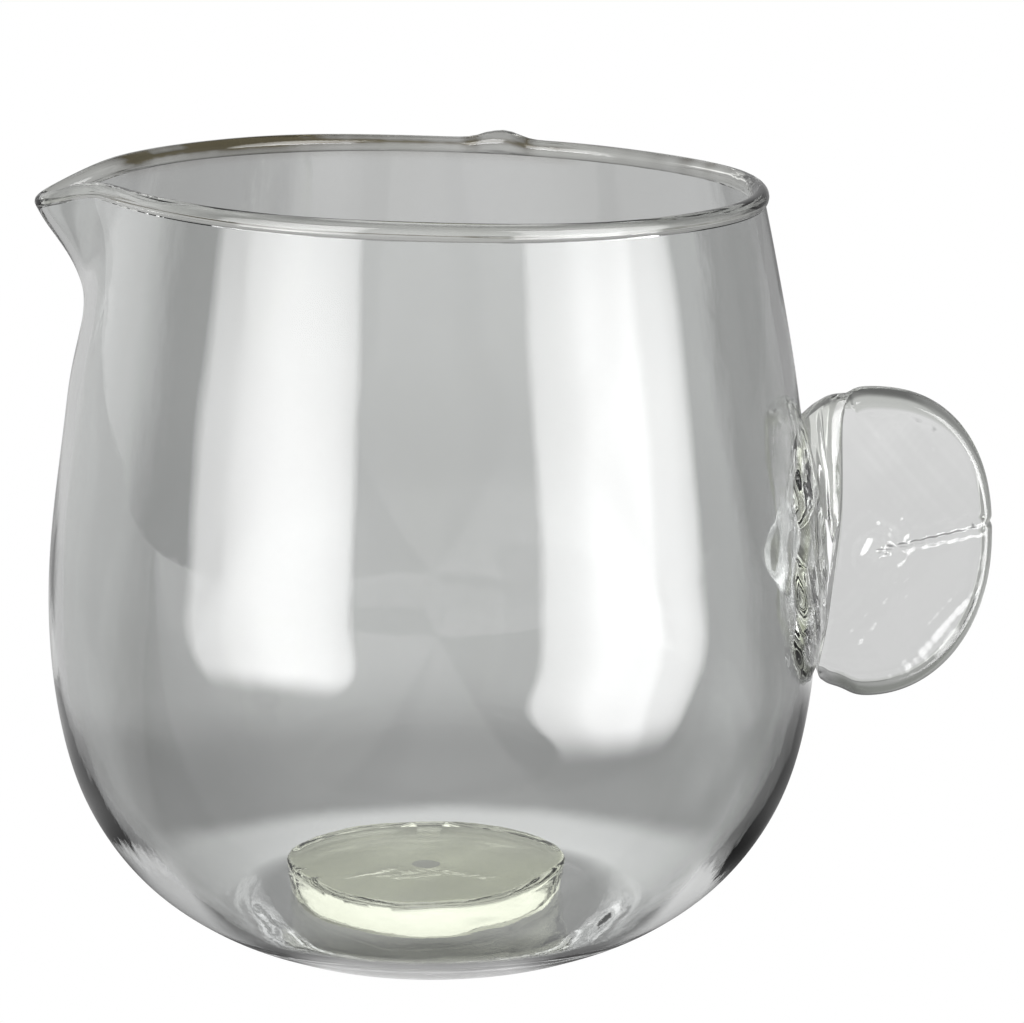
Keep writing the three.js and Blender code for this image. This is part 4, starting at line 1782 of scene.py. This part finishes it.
@dataclass(frozen=True)
class Studio:
    """Pale floor, plain white to the camera but with painted shadow and light where the glass mirrors or
    bends it, soft studio light and the camera.

    Attributes:
        around: Level of the surroundings by heading, from the back round the left to the back.
        upward: Share of it left from the floor level up to straight above.
        table: Level of the table by distance from the jug, over half a metre: painted shadow under the jug, a
            painted ring of caustic light round its foot and painted shade just outside its belly.
        shade: Painted shadow near the jug's foot, as a share of the table's level, where the outside of the
            glass mirrors it.
        spot_ring: Painted light spot on the table under the jug's front edge, added where the outside of the
            glass mirrors it.
        spot_side: Share of that painted light spot from left to right.
        front_dim: Painted shade on the table under the front of the glass, as a share of its level from front
            to back, seen through the glass.
        bright_side: Painted light and shade on the table from left to right, as a share of its level.
        bright_front: Painted pool of light on the table in front of the jug, as a share of its level from
            front to back.
        clear: Painted light added behind the jug where one piece of glass is looked through, as a share from
            front to back.
        clear_side: How much of that painted light is added from the jug's middle to the right.
        deep: How much brighter all is that reaches the eye only after many turns in the glass.
    """

    around: Ramp = Ramp(
        (
            (0.0, 0.58), (0.08, 0.60), (0.14, 1.3), (0.185, 1.2), (0.23, 0.12), (0.27, 0.08), (0.45, 1.45),
            (0.56, 1.55), (0.74, 0.30), (0.80, 0.45), (0.85, 0.22), (0.93, 0.30), (1.0, 0.58),
        )
    )
    upward: Ramp = Ramp(((0.0, 1.0), (0.5, 1.0), (0.65, 0.9), (0.8, 0.35), (1.0, 0.2)))
    table: Ramp = Ramp(
        (
            (0.0, 0.36), (0.05, 0.36), (0.056, 0.50), (0.062, 0.84), (0.09, 0.78), (0.12, 0.36),
            (0.20, 0.31), (0.28, 0.45), (0.42, 0.45), (0.6, 0.46), (1.0, 0.52),
        )
    )
    shade: Ramp = Ramp(((0.0, 0.2), (0.11, 0.2), (0.17, 1.0), (1.0, 1.0)))
    spot_ring: Ramp = Ramp(((0.0, 1.25), (0.066, 1.25), (0.074, 0.0), (1.0, 0.0)))
    spot_side: Ramp = Ramp(((0.0, 0.0), (0.26, 0.0), (0.36, 1.0), (0.60, 1.0), (0.70, 0.0), (1.0, 0.0)))
    front_dim: Ramp = Ramp(((0.0, 1.0), (0.03, 1.0), (0.08, 0.22), (0.29, 0.22), (0.37, 1.0), (1.0, 1.0)))
    bright_side: Ramp = Ramp(
        (
            (0.0, 1.1), (0.13, 1.05), (0.20, 0.78), (0.28, 0.80), (0.42, 1.0), (0.82, 1.0), (0.88, 0.6),
            (1.0, 0.6),
        )
    )
    bright_front: Ramp = Ramp(((0.0, 2.4), (0.32, 2.4), (0.48, 1.0), (1.0, 1.0)))
    clear: Ramp = Ramp(((0.0, 0.0), (0.31, 0.0), (0.37, 1.4), (0.72, 1.4), (0.85, 0.0), (1.0, 0.0)))
    clear_side: Ramp = Ramp(((0.0, 0.0), (0.32, 0.0), (0.38, 1.0), (0.72, 1.0), (0.80, 0.0), (1.0, 0.0)))
    deep: float = 0.9

    def build(self) -> None:
        """Sets up colour, world, floor, light panels and camera."""
        view = bpy.context.scene.view_settings
        view.view_transform = "Standard"
        view.look = "None"
        cycles = bpy.context.scene.cycles
        cycles.max_bounces = 24
        cycles.transmission_bounces = 24
        cycles.glossy_bounces = 12
        cycles.transparent_max_bounces = 32
        self._world()
        self._floor()
        left = SoftPanel(
            "soft_panel_left",
            inner=(-26.0, -20.0, -22.0, -20.0, -15.0),
            outer=(-60.0, -70.0, -75.5, -75.0, -70.0),
            near=0.222,
            glow=14.0,
            across=(
                (0.0, 0.0), (0.05, 0.62), (0.15, 0.86), (0.25, 0.94), (0.4, 1.05), (0.5, 1.0), (0.6, 0.92),
                (0.69, 0.8), (0.78, 0.58), (0.92, 0.5), (1.0, 0.0),
            ),
        )
        right = SoftPanel(
            "soft_panel_right",
            inner=(30.0, 28.0, 22.0, 25.5, 28.0, 29.0, 30.0, 27.0, 22.0),
            outer=(56.0, 64.0, 72.0, 80.0, 84.0, 86.0, 86.0, 80.0, 72.0),
            near=0.128,
            glow=14.0,
            across=(
                (0.0, 0.0), (0.06, 0.62), (0.18, 0.72), (0.27, 0.84), (0.36, 1.05), (0.62, 1.1), (0.71, 0.76),
                (0.84, 0.68), (0.93, 0.5), (1.0, 0.0),
            ),
        )
        left.build()
        right.build()
        self._camera()

    def _shown(
        self, tree: bpy.types.NodeTree, seen: bpy.types.NodeSocket, bent: bpy.types.NodeSocket
    ) -> bpy.types.NodeSocket:
        """Chooses between what is seen directly and what reaches the eye through glass.

        Args:
            tree: The nodes to add to.
            seen: Shader that is seen directly.
            bent: Shader that the glass mirrors or bends.

        Returns:
            The socket with the choice.
        """
        path = tree.nodes.new("ShaderNodeLightPath")
        mix = tree.nodes.new("ShaderNodeMixShader")
        tree.links.new(path.outputs["Is Camera Ray"], mix.inputs["Fac"])
        tree.links.new(bent, mix.inputs[1])
        tree.links.new(seen, mix.inputs[2])
        return mix.outputs["Shader"]

    def _maths(
        self,
        tree: bpy.types.NodeTree,
        kind: str,
        first: bpy.types.NodeSocket | float,
        second: bpy.types.NodeSocket | float,
    ) -> bpy.types.NodeSocket:
        """Adds one sum of two sockets or numbers.

        Args:
            tree: The nodes to add to.
            kind: What it does with them.
            first: First socket or number.
            second: Second socket or number.

        Returns:
            The socket with its result.
        """
        node = tree.nodes.new("ShaderNodeMath")
        node.operation = kind
        for k, value in enumerate((first, second)):
            if isinstance(value, float):
                node.inputs[k].default_value = value
            else:
                tree.links.new(value, node.inputs[k])
        return node.outputs["Value"]

    def _deepened(self, tree: bpy.types.NodeTree) -> bpy.types.NodeSocket:
        """Brightens what has been turned round inside the glass many times.

        Args:
            tree: The nodes to add to.

        Returns:
            The socket with the factor.
        """
        path = tree.nodes.new("ShaderNodeLightPath")
        many = self._maths(tree, "GREATER_THAN", path.outputs["Ray Depth"], 6.5)
        share = self._maths(tree, "MULTIPLY_ADD", many, self.deep)
        share.node.inputs[2].default_value = 1.0
        return share

    def _world(self) -> None:
        """Makes the pale surroundings, darker at both sides and above."""
        world = bpy.data.worlds.new("studio")
        bpy.context.scene.world = world
        world.use_nodes = True
        tree = world.node_tree
        tree.nodes.clear()
        output = tree.nodes.new("ShaderNodeOutputWorld")
        seen = tree.nodes.new("ShaderNodeBackground")
        seen.inputs["Color"].default_value = (1.0, 1.0, 1.0, 1.0)
        bent = tree.nodes.new("ShaderNodeBackground")
        place = tree.nodes.new("ShaderNodeTexCoord")
        split = tree.nodes.new("ShaderNodeSeparateXYZ")
        tree.links.new(place.outputs["Generated"], split.inputs["Vector"])
        front = self._maths(tree, "MULTIPLY", split.outputs["Y"], -1.0)
        turn = self._maths(tree, "ARCTAN2", split.outputs["X"], front)
        share = self._maths(tree, "MULTIPLY_ADD", turn, 0.5 / math.pi)
        share.node.inputs[2].default_value = 0.5
        around = self.around.add(tree, share)
        lift = self._maths(tree, "MULTIPLY_ADD", split.outputs["Z"], 0.5)
        lift.node.inputs[2].default_value = 0.5
        upward = self.upward.add(tree, lift)
        level = self._maths(tree, "MULTIPLY", around, upward)
        tree.links.new(self._maths(tree, "MULTIPLY", level, self._deepened(tree)), bent.inputs["Strength"])
        shown = self._shown(tree, seen.outputs["Background"], bent.outputs["Background"])
        tree.links.new(shown, output.inputs["Surface"])

    def _floor(self) -> None:
        """Lays the pale floor under the jug: plain white to the camera, with painted shadow and light round
        the jug where the glass mirrors or bends it.
        """
        low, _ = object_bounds()
        mesh = bmesh.new()
        bmesh.ops.create_grid(mesh, x_segments=8, y_segments=8, size=1.6)
        bmesh.ops.translate(mesh, vec=(0.0, 0.0, float(low[2]) - 0.0002), verts=mesh.verts[:])
        data = bpy.data.meshes.new("pale_floor")
        mesh.to_mesh(data)
        mesh.free()
        floor = bpy.data.objects.new("pale_floor", data)
        bpy.context.scene.collection.objects.link(floor)
        material = bpy.data.materials.new("pale_floor")
        material.use_nodes = True
        tree = material.node_tree
        tree.nodes.clear()
        output = tree.nodes.new("ShaderNodeOutputMaterial")
        seen = tree.nodes.new("ShaderNodeEmission")
        seen.inputs["Color"].default_value = (1.0, 1.0, 1.0, 1.0)
        bent = tree.nodes.new("ShaderNodeEmission")
        place = tree.nodes.new("ShaderNodeTexCoord")
        size = tree.nodes.new("ShaderNodeVectorMath")
        size.operation = "LENGTH"
        tree.links.new(place.outputs["Object"], size.inputs[0])
        # Painted shadow and caustic light round the jug, by distance from it.
        level = self.table.add(tree, self._maths(tree, "MULTIPLY", size.outputs["Value"], 2.0))
        split = tree.nodes.new("ShaderNodeSeparateXYZ")
        tree.links.new(place.outputs["Object"], split.inputs["Vector"])
        # Painted light and shade across the table, brighter to the left and in front.
        wedge = self._maths(tree, "ADD", split.outputs["Y"], 0.65)
        slope = self._maths(tree, "DIVIDE", split.outputs["X"], wedge)
        lean = self._maths(tree, "MULTIPLY_ADD", slope, 4.0)
        lean.node.inputs[2].default_value = 0.5
        side = self.bright_side.add(tree, lean)
        depth = self._maths(tree, "MULTIPLY_ADD", split.outputs["Y"], 1.5)
        depth.node.inputs[2].default_value = 0.5
        front = self.bright_front.add(tree, depth)
        # Painted shadow near the foot and a painted light spot under the front edge, for rays mirrored
        # straight off the glass.
        path = tree.nodes.new("ShaderNodeLightPath")
        direct = self._maths(tree, "LESS_THAN", path.outputs["Ray Depth"], 1.5)
        shadow = tree.nodes.new("ShaderNodeMix")
        shadow.inputs["A"].default_value = 1.0
        tree.links.new(direct, shadow.inputs["Factor"])
        ring = self._maths(tree, "MULTIPLY", size.outputs["Value"], 2.0)
        sideways = self._maths(tree, "MULTIPLY_ADD", split.outputs["X"], 10.0)
        sideways.node.inputs[2].default_value = 0.5
        spot = self.spot_ring.add(tree, ring)
        spot = self._maths(tree, "MULTIPLY", spot, self.spot_side.add(tree, sideways))
        near = self._maths(tree, "ADD", self.shade.add(tree, ring), spot)
        tree.links.new(near, shadow.inputs["B"])
        # Painted shade under the front of the glass, for rays that passed through it.
        inward = self._maths(tree, "MULTIPLY_ADD", split.outputs["Y"], 10.0)
        inward.node.inputs[2].default_value = 0.5
        through = self._maths(tree, "GREATER_THAN", path.outputs["Ray Depth"], 1.5)
        dim = tree.nodes.new("ShaderNodeMix")
        dim.inputs["A"].default_value = 1.0
        tree.links.new(through, dim.inputs["Factor"])
        tree.links.new(self.front_dim.add(tree, inward), dim.inputs["B"])
        level = self._maths(tree, "MULTIPLY", level, dim.outputs["Result"])
        level = self._maths(tree, "MULTIPLY", level, shadow.outputs["Result"])
        both = self._maths(tree, "MULTIPLY", side, front)
        # Painted light behind and to the right of the jug where only one piece of glass is looked through.
        single = self._maths(tree, "LESS_THAN", path.outputs["Transmission Depth"], 2.5)
        back = self._maths(tree, "MULTIPLY_ADD", split.outputs["Y"], 1.2)
        back.node.inputs[2].default_value = 0.2
        right = self._maths(tree, "MULTIPLY", split.outputs["X"], 5.0)
        plain = self._maths(tree, "MULTIPLY", self.clear.add(tree, back), self.clear_side.add(tree, right))
        plain = self._maths(tree, "MULTIPLY_ADD", plain, single)
        plain.node.inputs[2].default_value = 1.0
        both = self._maths(tree, "MULTIPLY", both, plain)
        both = self._maths(tree, "MULTIPLY", both, self._deepened(tree))
        tree.links.new(self._maths(tree, "MULTIPLY", level, both), bent.inputs["Strength"])
        shown = self._shown(tree, seen.outputs["Emission"], bent.outputs["Emission"])
        tree.links.new(shown, output.inputs["Surface"])
        data.materials.append(material)
        floor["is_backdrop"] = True

    def _camera(self) -> None:
        """Stands the camera in front of the jug, a little above its lip."""
        low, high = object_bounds()
        tall = float(high[2] - low[2])
        away = 5.544 * tall
        up = 1.741 * tall
        pitch = math.radians(12.072)
        yaw = math.radians(1.04)
        camera = bpy.data.cameras.new("studio_camera")
        camera.sensor_width = 36.0
        camera.lens = 155.2
        camera.clip_end = 20.0
        stand = bpy.data.objects.new("studio_camera", camera)
        stand.location = (0.0, -away, up)
        stand.rotation_euler = (math.radians(90.0) - pitch, 0.0, -yaw)
        bpy.context.scene.collection.objects.link(stand)
        bpy.context.scene.camera = stand


# ------------------------------------------------------------------ assembly


def make_finishes() -> dict[str, bpy.types.Material]:
    """Makes the finish of every piece.

    Returns:
        The materials by piece, with that of the joints under weld.
    """
    finishes = {
        "belly": GlassFinish("belly_glass", (0.925, 0.935, 0.93), (0.905, 0.915, 0.905)),
        "lip": GlassFinish("lip_glass", (0.92, 0.925, 0.90), (0.87, 0.88, 0.84), stain_and_shade=(0.075, 0.058, 0.024)),
        "pad": GlassFinish("pad_glass", (0.93, 0.945, 0.80), (0.90, 0.92, 0.76), stain_and_shade=(0.16, 0.16, 0.13)),
        "seal": GlassFinish("seal_glass", (0.93, 0.945, 0.91), (0.88, 0.90, 0.84), stain_and_shade=(0.80, 0.86, 0.62)),
        "neck": GlassFinish("neck_glass", (0.93, 0.945, 0.91), (0.87, 0.89, 0.84), stretch=(1.6, 1.0, 0.3)),
        "disc": GlassFinish(
            "disc_glass",
            (0.95, 0.955, 0.95),
            (0.93, 0.935, 0.93),
            # Painted shade: grey for the disc's rounded edge.
            stain_and_shade=(0.60, 0.62, 0.58),
            stretch=(1.0, 1.0, 1.0),
        ),
    }
    made = {name: finish.build() for name, finish in finishes.items()}
    made["weld"] = WeldFinish().build()
    return made


def main() -> None:
    """Builds the jug piece by piece and the studio round it."""
    logging.basicConfig(level=logging.INFO, format="%(message)s")
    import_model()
    site = Site()
    form = BellyForm()
    seal_low, seal_high = site.span(Node.HANDLE_SEAL, 2)
    grid = PatchGrid(form, seal_low=seal_low, seal_high=seal_high)
    finish = make_finishes()
    weld = finish["weld"]
    Vessel(site, form, grid).build(finish["belly"], weld)
    LipWrap(site, form, grid).build(finish["lip"], weld)
    BasePad(site, form).build(finish["pad"], weld)
    seal = HandleSeal(site, form, grid)
    low, high = seal.neck_rows()
    disc = HandleDisc(site, neck_steps=high - low)
    seal.build(finish["seal"], weld)
    disc.build(finish["disc"], weld)
    HandleNeck(site, seal, disc).build(finish["neck"], weld)
    Studio().build()


if __name__ == "__main__":
    main()
